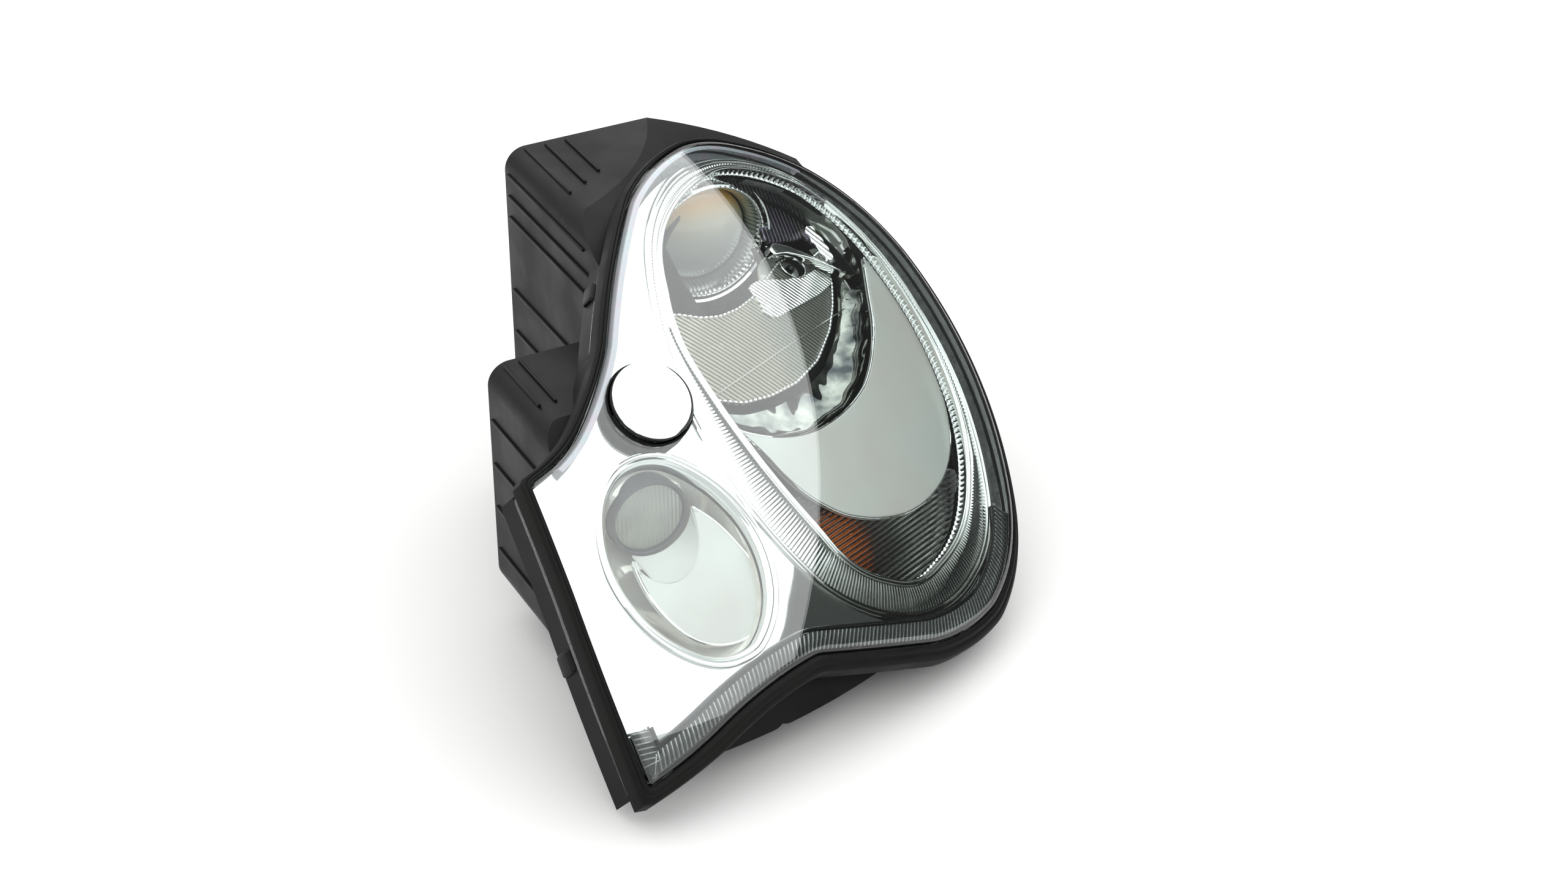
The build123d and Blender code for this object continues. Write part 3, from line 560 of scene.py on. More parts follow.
@dataclass(frozen=True)
class Finish:
    """What a piece is made of and how its surface was made."""

    name: str
    slot: str
    colour: str
    metallic: float = 0.0
    roughness: float = 0.4
    ior: float = 1.5
    grain: tuple[float, float] = (0.0, 0.0)  # size and depth in mm
    waves: tuple[float, float] = (0.0, 0.0)  # length and depth in mm
    patch: str = ""
    patch_mm: float = 18.0
    coat: float = 0.0
    shine: float = 0.5
    # Painted shade between ribs: their pitch and direction, the colour of the shade in the valleys, and where
    # it is full and where it ends.
    ribs: tuple[float, float] = (0.0, 0.0)  # pitch in mm and direction in degrees
    valley_shade: str = "#303030"
    valley_shade_ends: tuple[float, float] = (0.2, 0.6)

    def material(self) -> bpy.types.Material:
        """The material of this finish, made once."""
        return bpy.data.materials.get(self.name) or material(self.name, self.shader)

    def patches(self, tree: Tree, where: Socket) -> Socket:
        """Slow noise that the colour and the roughness follow."""
        values = {"Scale": 1.0 / self.patch_mm, "Detail": 3.0}
        return add(tree, "TexNoise", values, {"Vector": where}).outputs["Fac"]

    def tint(self, tree: Tree, where: Socket) -> Socket | None:
        """Colour where it isn't the same all over."""
        if not self.patch:
            return None
        return ramp(tree, self.patches(tree, where), ((0.38, self.colour), (0.66, self.patch)))

    def shaded(self, tree: Tree, colour: Socket) -> Socket:
        """The colour with the valleys between the ribs in shade."""
        pitch, turn = self.ribs
        here = place_mm(tree, Face.centre, Face.turned(turn))
        across = add(tree, "SeparateXYZ", links={"Vector": here}).outputs["Y"]
        phase = add(tree, "Math", {1: math.tau / pitch}, {0: across}, operation="MULTIPLY")
        crest = add(tree, "Math", links={0: phase.outputs["Value"]}, operation="COSINE").outputs["Value"]
        share = add(tree, "MapRange", {"From Min": 1.0, "From Max": -1.0}, {"Value": crest})
        low, high = self.valley_shade_ends
        lines = ramp(tree, share.outputs["Result"], ((low, self.valley_shade), (high, "#FFFFFF")))
        links = {"A": colour, "B": lines}
        return add(tree, "Mix", {"Factor": 1.0}, links, data_type="RGBA", blend_type="MULTIPLY").outputs[2]

    def height(self, tree: Tree, where: Socket) -> Socket | None:
        """Bump of the grain and of the slow waves in the surface."""
        normal = None
        for (size, depth), detail in ((self.waves, 0.4), (self.grain, 2.0)):
            if depth:
                values = {"Scale": 1.0 / size, "Detail": detail, "Roughness": 0.5}
                noise = add(tree, "TexNoise", values, {"Vector": where})
                links = {"Height": noise.outputs["Fac"], **({"Normal": normal} if normal else {})}
                normal = add(tree, "Bump", {"Strength": 1.0, "Distance": depth * MM}, links).outputs["Normal"]
        return normal

    def shader(self, tree: Tree) -> Socket:
        """Principled surface with its colour, uneven roughness and bump."""
        where = place_mm(tree)
        values = {"Base Color": linear(self.colour), "Metallic": self.metallic, "IOR": self.ior,
                  "Coat Weight": self.coat, "Coat Roughness": 0.05, "Specular IOR Level": self.shine}
        body = add(tree, "BsdfPrincipled", values)
        colour = self.tint(tree, where)
        if colour and self.ribs[0]:
            colour = self.shaded(tree, colour)
        if colour:
            tree.links.new(colour, body.inputs["Base Color"])
        low, high = self.roughness * 0.85, self.roughness * 1.15 + 0.003
        values = {"From Min": 0.35, "From Max": 0.65, "To Min": low, "To Max": high}
        rough = add(tree, "MapRange", values, {"Value": self.patches(tree, where)}).outputs["Result"]
        tree.links.new(rough, body.inputs["Roughness"])
        normal = self.height(tree, where)
        if normal:
            tree.links.new(normal, body.inputs["Normal"])
        return body.outputs["BSDF"]


@dataclass(frozen=True)
class ClearCover(Finish):
    """Moulded polycarbonate with a gloss hard coat: clear through, and it mirrors more towards its edges."""

    body_tint: str = "#F4F7F7"

    def shader(self, tree: Tree) -> Socket:
        """Clear body that mirrors by its Fresnel share."""
        inner = add(tree, "NewGeometry").outputs["Backfacing"]
        # The Fresnel node takes 1 / IOR on the inner side, where the ray leaves the plastic.
        values = {1: 1 / self.ior - self.ior, 2: self.ior}
        index = add(tree, "Math", values, {0: inner}, operation="MULTIPLY_ADD").outputs["Value"]
        share = add(tree, "Fresnel", links={"IOR": index}).outputs["Fac"]
        through = add(tree, "BsdfTransparent", {"Color": linear(self.body_tint)}).outputs["BSDF"]
        values = {"Color": linear("#FFFFFF"), "Roughness": self.roughness}
        gloss = add(tree, "BsdfAnisotropic", values).outputs["BSDF"]
        return add(tree, "MixShader", links={0: share, 1: through, 2: gloss}).outputs["Shader"]


@dataclass(frozen=True)
class PaintedLightZones(Finish):
    """A finish whose colour runs between places on the piece, to paint light and shade, such as light through
    a bulb's glass.
    """

    centre: Row = (0, 0, 0)
    turn: Row = (0, 0, 0)
    span_mm: float = 60.0
    stops: tuple[tuple[float, str], ...] = ()
    radial: bool = False

    def tint(self, tree: Tree, where: Socket) -> Socket:
        """Colour that follows a ramp along a line or out from a point."""
        here = place_mm(tree, self.centre, self.turn)
        if self.radial:
            run = add(tree, "VectorMath", links={0: here}, operation="LENGTH").outputs["Value"]
        else:
            run = add(tree, "SeparateXYZ", links={"Vector": here}).outputs["X"]
        span = {"From Min": 0.0 if self.radial else -self.span_mm, "From Max": self.span_mm}
        share = add(tree, "MapRange", span, {"Value": run}).outputs["Result"]
        links = {0: self.patches(tree, where), 2: share}
        mixed = add(tree, "Math", {1: 0.12}, links, operation="MULTIPLY_ADD").outputs["Value"]
        return ramp(tree, mixed, self.stops)


# Vacuum-metallised plastic: a bright mirror with the slow waves of the moulding under it.
MIRROR = Finish("vacuum_metallised_plastic", "mirror_chrome", "#E9EAE8", 1.0, 0.035, waves=(22, 0.05))
# The same film over the high beam's deep bowl, painted darker and in dark patches as shade, where the
# moulding's waves bend the reflections.
BOWL_MIRROR = Finish(
    "vacuum_metallised_bowl", "mirror_chrome", "#B7B9B0", 1.0, 0.05,
    waves=(20, 1.9), patch="#4E5356", patch_mm=20,
)
# The same film over the fog lamp's deep bowl, painted light with little metal, where the moulding's waves bend
# the reflections.
FOG_MIRROR = Finish(
    "vacuum_metallised_fog_bowl", "mirror_chrome", "#F4F2EA", 0.35, 0.1,
    waves=(26, 1.8), patch="#DAD6C8",
)
# Bright moulded wedges: the film painted pale, with little metal, as painted light, so they stay light even
# where they face the dark.
BRIGHT = Finish(
    "bright_metallised_wedge", "mirror_chrome", "#F3F4EF", 0.45, 0.1,
    waves=(14, 0.8), patch="#C9D0C2", patch_mm=16,
)
# Satin silver paint: fine aluminium flake that spreads light without a mirror, with a faint pearl.
SATIN = Finish(
    "satin_silver_paint", "satin_silver", "#DFE1DA", 0.25, 0.46,
    grain=(0.5, 0.02), patch="#DAD6CF", patch_mm=70,
)
# Moulded EPDM rubber: near black and dull, with dust in its pores.
RUBBER = Finish(
    "epdm_rubber", "black_rubber", "#101010", 0.0, 0.5,
    grain=(0.9, 0.05), patch="#161615", patch_mm=30, shine=0.1,
)
# Clear polycarbonate under a gloss hard coat: clear through, with sharp reflections on it.
CLEAR = ClearCover("hard_coated_polycarbonate", "clear_lens", "#FFFFFF", roughness=0.0, ior=1.585)
# Metallised band behind fine ribs: reads mid grey with light crests; the band is painted dark as shade between
# the ribs, and the ribs, of the same film, painted light as highlight.
STRIP = Finish("metallised_band", "fluted_grey", "#33352F", 0.6, 0.25, patch="#3D403D", patch_mm=25)
STRIP_RIB = Finish("metallised_ribs", "fluted_grey", "#A9ABA8", 0.8, 0.25, patch="#8F918F")
# Ribbed reflector film: bright crests where the ribs catch the light.
RIBBED = Finish("ribbed_reflector_film", "mirror_chrome", "#D8DAD6", 1.0, 0.09, patch="#C2C5C2", patch_mm=20)
# The same film where it is lit, near the bulb: pale, with grey painted shade only deep between the ribs.
RIBBED_BRIGHT = Finish(
    "ribbed_film_in_light", "mirror_chrome", "#F0F1EE", 1.0, 0.12, patch="#E4E6E2", patch_mm=20,
    ribs=(3.2, -47), valley_shade="#5C5C5A", valley_shade_ends=(0.05, 0.34),
)
# The same ribs where they face the dark, painted light with little metal: pale at the left, through taupe and
# green to grey at the right, and painted shade between the ribs.
RIBBED_SHADE = PaintedLightZones(
    "ribbed_film_in_shade_painted_light", "mirror_chrome", "#DCD4C2", 0.3, 0.24, patch_mm=20,
    ribs=(3.2, -47), valley_shade="#86847C", valley_shade_ends=(0.15, 0.8),
    centre=tuple(Face.point(Vector((60, 80, -45)))), turn=Face.turned(0), span_mm=80,
    stops=((0.1, "#F6EFDD"), (0.5, "#F3EAD6"), (0.64, "#C3CDBD"), (0.72, "#A9A8A0"), (0.95, "#8F9089")),
)
# Smoked film over the upper reflector's ribs: painted shade in dark valleys between grey, faintly violet
# crests.
RIBBED_DARK = Finish(
    "smoked_ribbed_film", "smoked_chrome", "#A9A7A8", 0.5, 0.2, patch="#8F82A0", patch_mm=30,
    ribs=(3.6, 70), valley_shade="#343335", valley_shade_ends=(0.6, 0.95),
)
# Glass of the projector: thick, grey in its depth, with warm light painted in towards the top.
PROJECTOR_GLASS = PaintedLightZones(
    "pressed_borosilicate_glass", "projector_glass", "#B9BAB4", 0.0, 0.12, ior=1.47, coat=0.6, patch_mm=26,
    centre=(-7, -30, 205), turn=(0, -90, 0), span_mm=38,
    stops=((0.1, "#B4BAB2"), (0.5, "#BFC4BA"), (0.7, "#C9BF9C"), (0.88, "#F0B860"), (1.0, "#F2BE70")),
)
# Clear polycarbonate flutes over the indicator's bowl: amber light painted near the bulb, painted light and
# shade further out, darker towards the edge, and painted shade between the flutes.
INDICATOR = PaintedLightZones(
    "fluted_polycarbonate_over_bulb", "fluted_clear", "#7A7A74", 0.7, 0.12, coat=0.3, patch_mm=12,
    ribs=(3.4, 17), valley_shade="#24201E", valley_shade_ends=(0.25, 0.75),
    centre=tuple(Face.point(Vector((34, -84, -28)))), radial=True, span_mm=130,
    stops=((0.08, "#E07016"), (0.22, "#B4570F"), (0.29, "#4A3A30"), (0.42, "#5A5C55"), (0.6, "#B4B6AC"),
           (0.85, "#8A8C82"), (1.0, "#3A3A39")),
)
# Gloss black polycarbonate: near black, with clean highlights.
SMOKED = Finish(
    "gloss_black_polycarbonate", "smoked_chrome", "#121313", 0.0, 0.12,
    patch="#191A1A", patch_mm=12, shine=0.35,
)
# Frosted edge of the cover: grey, with the faint pastel tints that stress gives clear plastic.
FROSTED = Finish(
    "frosted_polycarbonate", "clear_lens", "#BCC4C9", 0.2, 0.3, patch="#C9B9C6", patch_mm=16, coat=0.2
)
# The film on the main ring: bright above, with painted shade along the lower turn.
RING_MIRROR = PaintedLightZones(
    "vacuum_metallised_ring", "mirror_chrome", "#E9EAE8", 1.0, 0.05, patch_mm=14,
    centre=tuple(Face.point(Vector((80, -90, -12)))), turn=Face.turned(90), span_mm=40,
    stops=((0.12, "#5C5D59"), (0.42, "#9A9B96"), (0.75, "#E9EAE8")),
)
# Pressed glass of the fog lamp: its ribs' soft gloss over the dark behind it is painted in as a grey colour.
FOG_GLASS = Finish(
    "ribbed_pressed_glass", "fluted_clear", "#A9AAA0", 0.3, 0.14, patch="#9A9C94", patch_mm=15, coat=0.3
)
# Moulded polypropylene, polyamide and nylon: dull plastics with the fine grain of their mould.
BLACK = Finish(
    "moulded_black_polypropylene", "black_plastic", "#121213", 0.0, 0.46,
    grain=(0.6, 0.04), patch="#171718", patch_mm=40, shine=0.13,
)
GREY = Finish(
    "moulded_grey_polyamide", "grey_plastic", "#5A5B5D", 0.0, 0.42,
    grain=(0.6, 0.03), patch="#505153", patch_mm=30, shine=0.35,
)
WHITE = Finish(
    "natural_white_nylon", "white_plastic", "#D9D6CB", 0.0, 0.38,
    grain=(0.7, 0.02), patch="#CFCBBE", patch_mm=12, shine=0.35,
)
# Zinc plating: a grey metal, clouded from spot to spot.
ZINC = Finish(
    "zinc_plated_steel", "zinc_steel", "#B9B8B2", 1.0, 0.3, grain=(1.2, 0.02), patch="#A9A79C", patch_mm=6
)
# Amber glass of the indicator's bulb: deep orange under a wet gloss.
AMBER = Finish("amber_bulb_glass", "amber_glass", "#C8660F", 0.0, 0.08, coat=0.5, patch="#B85408", patch_mm=6)


class Layout(Enum):
    """How a mesh is laid out before it becomes a piece."""

    PART = "in the part's frame"
    FLAT = "flat, in the lens's own frame"


# ---------------------------------------------------------------- pieces
def piece(
    bm: BMesh,
    name: str,
    finish: Finish,
    body: str = "housing",
    replaces: Sequence[str] = (),
    layout: Layout = Layout.FLAT,
    sharp: float = 32.0,
    lean: tuple[float, float] = (0.0, 0.0),
    even: bool = False,
) -> None:
    """Turns a finished mesh into a piece that rides on a body.

    Args:
        bm: the mesh, in mm; it is freed.
        name: name of the piece.
        finish: its material.
        body: CAD body that it moves with.
        replaces: CAD nodes that it stands for.
        layout: how the mesh is laid out.
        sharp: edges that turn by more than this stay crisp, in degrees.
        lean: how far fine facets, too small to model, turn the surface towards u and v.
        even: shaded like the face itself, for a surface that runs into a wall without an edge.
    """
    bmesh.ops.remove_doubles(bm, verts=bm.verts, dist=MERGE_MM)
    bmesh.ops.dissolve_degenerate(bm, edges=bm.edges, dist=SLIVER_MM)
    bmesh.ops.recalc_face_normals(bm, faces=bm.faces)
    mesh = bpy.data.meshes.new(name)
    bm.to_mesh(mesh)
    open_edges = sum(1 for e in bm.edges if len(e.link_faces) == 1)
    bm.free()
    mesh.polygons.foreach_set("use_smooth", [True] * len(mesh.polygons))
    mesh.set_sharp_from_angle(angle=math.radians(sharp))
    flat = [v.co.copy() if layout is Layout.FLAT else Face.flat(v.co) for v in mesh.vertices]
    if layout is Layout.FLAT:
        ways = [corner.vector.copy() for corner in mesh.corner_normals]
        for face in mesh.polygons:
            heights = [flat[i].z for i in face.vertices]
            if max(heights) - min(heights) < LEVEL_MM:
                for i in face.loop_indices:
                    ways[i] = UP if face.normal.z > 0 else -UP
        if even:
            ways = [UP if way.z > 0.2 else way for way in ways]
        for v, p in zip(mesh.vertices, flat):
            v.co = Face.point(p)
    else:
        ways = [UP] * len(mesh.loops)
    if even or layout is Layout.FLAT:
        tip = Vector((*lean, 0))
        normals = [Face.normal(flat[loop.vertex_index], way + tip) for loop, way in zip(mesh.loops, ways)]
        mesh.normals_split_custom_set(normals)
    mesh.transform(Matrix.Scale(MM, 4))
    mesh.materials.append(finish.material())
    mesh.update()
    obj = bpy.data.objects.new(name, mesh)
    bpy.context.scene.collection.objects.link(obj)
    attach(obj, body)
    if replaces:
        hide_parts(*replaces)
    LOG.info("%s: %d faces, %d open edges", name, len(mesh.polygons), open_edges)


def skin(
    name: str, finish: Finish, rings: Sequence[Sequence[Vector]], close: bool = False, **options: object
) -> None:
    """Piece skinned through rings, closed on itself or with filled ends; options are what piece takes."""
    bm = bmesh.new()
    if close:
        loft(bm, rings, close=True)
    else:
        bar(bm, rings)
    piece(bm, name, finish, **options)


def plate(
    name: str,
    finish: Finish,
    contours: Sequence[tuple[Outline, Sequence[Section]]],
    flutes: Flutes | None = None,
    cells: float = CELL_MM,
    **options: object,
) -> None:
    """Closed plate between outlines, laid out flat; options are what piece takes."""
    bm = bmesh.new()
    slab(bm, contours)
    if flutes:
        flutes.cut(bm)
    else:
        cut_cells(bm, cells)
    piece(bm, name, finish, **options)


def turned(
    name: str,
    finish: Finish,
    where: Matrix,
    profile: Sequence[Spot],
    sides: int = SIDES,
    shape: Callable[[list[list[Vert]]], None] | None = None,
    **options: object,
) -> None:
    """Turned piece stood at a place.

    Args:
        name: name of the piece.
        finish: its material.
        where: matrix of its place.
        profile: radius and height of each ring.
        sides: how many sides it has.
        shape: what moves its rings of vertices before it is stood at its place.
        **options: what piece takes.
    """
    bm = bmesh.new()
    rings = spin(bm, profile, sides)
    if shape:
        shape(rings)
    bm.transform(where)
    piece(bm, name, finish, layout=Layout.PART, **options)


def moulded(name: str, finish: Finish, *groups: tuple[float, Iterable[Box]], **options: object) -> None:
    """Piece of boxes, as groups with one rolled edge each; options are what piece takes."""
    bm = bmesh.new()
    for edge, boxes in groups:
        blocks(bm, boxes, edge)
    piece(bm, name, finish, layout=Layout.PART, **options)


# ---------------------------------------------------------------- the lamp's lines on its face
LENS = Outline.arcs(
    [(-161, -202, -1.5), (-106, -181, 3), (-25, -153.5, -1), (77, -164.5, -4), (145, -148, -8.5),
     (200, -73, -12.5), (205, 128, -21), (99, 231, -4), (46, 232.5, -4.5), (-26, 189.5, -4), (-100, 82.5, 2),
     (-146, 25, 2.5), (-184, 3.5, -0.5), (-180, -76, -3)]
)
SEAL = Outline.arcs(
    [(-166, -214, -1.5), (-102, -192.5, 3), (-24, -165, -1), (80, -176, -4), (152, -156, -8.5),
     (205, -75, -12.5), (208.5, 130, -21), (100, 234.5, -4), (45, 236, -4.5), (-30, 192, -4), (-104, 86, 2),
     (-149, 29.5, 2.5), (-190, 7, -0.5), (-185.5, -76, -3)]
)
RIM = Outline.arcs(
    [(-31, 152, -10.5), (-60, 15, -10), (-7.5, -109.5, -7.5), (69, -146, -6.5), (141.5, -124.5, -7),
     (185, -66, -9), (194.5, 85.5, -11.5), (145, 202.5, -9), (59, 221, -2.5), (14.5, 201.5, -3.5)]
)
RIM_INNER = Outline.arcs(
    [(-29, 117, -5.5), (-35.5, 47, -6.5), (12, -74, -7), (56, -113, -6.5), (107, -109, -6.5), (162, -59, -5),
     (188.5, 20, -3.5), (185, 114, -7), (150, 195, -6), (81, 214, -4), (14, 181.5, -7)]
)
MAIN_PLATE = Outline.arcs(
    [(180, 135.5, 3), (191, 53, 3.5), (177, -16.5, 2.5), (149, -49.5, 3), (100, -70, 3.5), (42.5, -64, 5.5),
     (-3.5, -19, -1), (-23, 10.5, -6), (42.5, -2, -3.5), (105, 26, -4.5), (156, 95, 0.5)]
)
FOG_RIM = Outline.arcs(
    [(-149.5, -32, -6), (-146, -94.5, -4), (-110.5, -136, -6.5), (-61.5, -140.5, -3.5), (-38.5, -105.5, -5),
     (-45, -47.5, -4), (-83.5, -1.5, -5), (-125, 0, -4)]
)
FOG_PLATE = Outline.arcs(
    [(-80.5, -30.5, 3), (-51.5, -65, 4.5), (-43.5, -106.5, 6.5), (-69.5, -128.5, 3), (-101, -119, 5.5),
     (-126.5, -65, 21)]
)
STRIP_ZONE = Outline([Vector(p) for p in ((-165, -225), (230, -225), (230, -62), (150, -95), (-168, -170))])


# ---------------------------------------------------------------- sub-assemblies
@dataclass
class Cover:
    """Clear cover with its rolled edge and skirt, and the rubber seal round it."""

    wall: float = 3.0
    skirt: float = 28.0
    roll: float = 6.0
    washer_gap: float = 30.5

    def build(self) -> None:
        """Makes the cover, the frosted band that hides its glued edge, and its seal."""
        turns = [math.radians(18 * i) for i in range(6)]
        edge = [(self.roll * (1 - math.sin(a)), -self.roll * (1 - math.cos(a))) for a in turns]
        back = [(0, -self.skirt), (self.wall, -self.skirt), (self.wall, -self.roll), (self.wall + 1, -3.9),
                (self.roll, -self.wall)]
        hole = Washer.hole(self.washer_gap, self.wall / 2)
        lip = [(0.6, 0), (0, -0.6), (0, -self.wall)]
        plate("lens_shell", CLEAR, [(LENS, edge + back), (hole, lip)], replaces=["lens_cover"])
        rows = ((3.3, -7), (3.6, -5), (4.6, -3.8), (6.6, -3.4), (8.0, -3.5), (8.0, -4.1), (6.4, -4.4),
                (4.4, -6.4), (4.2, -10.8), (3.3, -10.8))
        band = LENS.resampled(600).sections(rows, lambda p: p.y > 10 and p.x < 150)
        skin("cover_edge_band", FROSTED, band)
        self.seal()

    def seal(self) -> None:
        """Rubber seal: a lip against the cover, a rounded bead and a flat foot."""
        gaps = LENS.gaps(SEAL)
        rows = [(0, -4), (0.12, -2.6), (0.3, -2.1), (0.42, -2.6), (0.5, -3.2), (0.62, -2.8), (0.8, -3.1),
                (0.94, -4.2), (1, -6), (1, -15), (0, -15)]
        rings = [LENS.shifted([g * share for g in gaps]).at(z) for share, z in rows]
        skin("lens_seal_bead", RUBBER, rings, close=True, replaces=["lens_seal"])


@dataclass
class Bezel:
    """Bright sheet under the cover that fills the space between the lamps."""

    top: float = -12.0
    bottom: float = -14.5
    inset: float = 3.0
    washer_gap: float = 29.8
    washer_depth: float = 13.0

    def build(self) -> None:
        """Makes the sheet with its three openings."""
        top, bottom = self.top, self.bottom
        lip = [(0.7, top), (0.3, top - 0.2), (0, top - 0.8), (0, bottom)]
        edge = [(self.inset + into, z) for into, z in ((1, top), (0.4, top - 0.3), (0, top - 1), (0, bottom))]
        hole = Washer.hole(self.washer_gap, self.washer_depth)
        contours = [(LENS, edge), (RIM, lip), (FOG_RIM, lip), (hole, lip)]
        plate("bezel_sheet", MIRROR, contours, replaces=["bezel"], lean=(0.022, 0.0))


RimRow = tuple[float, float, float, float]  # share of the ring's width, mm beyond it, z, flute height


@dataclass
class Rim:
    """Ring between two lines of the face, with rolls, steps and a band of flutes."""

    name: str
    node: str
    outer: Outline
    inner: Outline
    rows: tuple[RimRow, ...]
    pitch: float
    finish: Finish
    per_flute: int = 5
    full_width: float = 14.0
    coarse: int = 240

    def widths(self, count: int) -> list[float]:
        """Width of the ring at each of count points of its outer line."""
        gaps = self.outer.resampled(self.coarse).gaps(self.inner)
        for _ in range(3):
            gaps = eased(gaps)
        spread_out = []
        for i in range(count):
            at = i * self.coarse / count
            k, t = int(at) % self.coarse, at % 1
            spread_out.append(gaps[k] * (1 - t) + gaps[(k + 1) % self.coarse] * t)
        return spread_out

    def build(self) -> None:
        """Skins the ring through its rows."""
        count = round(self.outer.length() / self.pitch) * self.per_flute
        fine, widths = self.outer.resampled(count), self.widths(count)
        waves = [wave((i % self.per_flute) / self.per_flute) for i in range(count)]
        rings = []
        for share, more, z, height in self.rows:
            moves = [g * share - more * min(1.0, abs(g) / self.full_width) for g in widths]
            spots = fine.shifted(moves).points
            rings.append([Vector((p.x, p.y, z + height * w)) for p, w in zip(spots, waves)])
        skin(self.name, self.finish, rings, close=True, replaces=[self.node])


@dataclass
class Plates:
    """Satin plates under the cover that carry the openings of the lamps."""

    top: float = -22.4
    bottom: float = -26.0
    lamp_gap: float = 2.6
    opening_depth: float = 24.5
    lean: tuple[float, float] = (-0.06, 0.0)

    def build(self) -> None:
        """Makes both plates with their bright bevels, and the wall back from the fog lamp's opening."""
        opening = FogLamp.opening(FogLamp.radius + self.lamp_gap, self.opening_depth)
        top = self.top
        wall = [(1.9, top), (1.0, top - 0.25), (0.3, top - 0.9), (0, top - 1.6), (0, self.bottom)]
        bevel = ((0.9, -22.5), (0.2, -22.3), (-0.3, -22.9), (-0.3, -24), (0.5, -24))
        fog_line = FOG_PLATE.resampled(400)
        plate("main_plate_satin", SATIN, [(MAIN_PLATE, wall)], replaces=["main_plate"], lean=self.lean)
        skin("main_plate_satin_edge", MIRROR, MAIN_PLATE.rings(bevel), close=True)
        fog = [(fog_line.less(opening), wall)]
        plate("fog_plate_satin", SATIN, fog, replaces=["fog_plate"], lean=self.lean, even=True)
        skin("fog_plate_satin_edge", MIRROR, fog_line.sections(bevel, lambda p: not opening.holds(p)))
        self.sleeve(opening)

    def sleeve(self, opening: Outline) -> None:
        """Satin wall that leads back, straight behind the opening's edge, to the fog lamp."""
        plate_line = FOG_PLATE.grown(-1)
        sections = []
        for p in opening.resampled(200).run(lambda p: plate_line.holds(p) and p.x > -116):
            front = Face.point(Vector((p.x, p.y, -23.2)))
            out = (front - FogLamp.place) * Vector((1, 0, 1))
            out.normalize()
            back = Vector((front.x, max(front.y + 2, FogLamp.place.y - 6.5), front.z))
            sections.append([front, front + out * 1.3 + REARWARD * 1.5, back + out * 1.3, back])
        skin("fog_plate_wall", SATIN, sections, layout=Layout.PART, lean=self.lean, even=True)


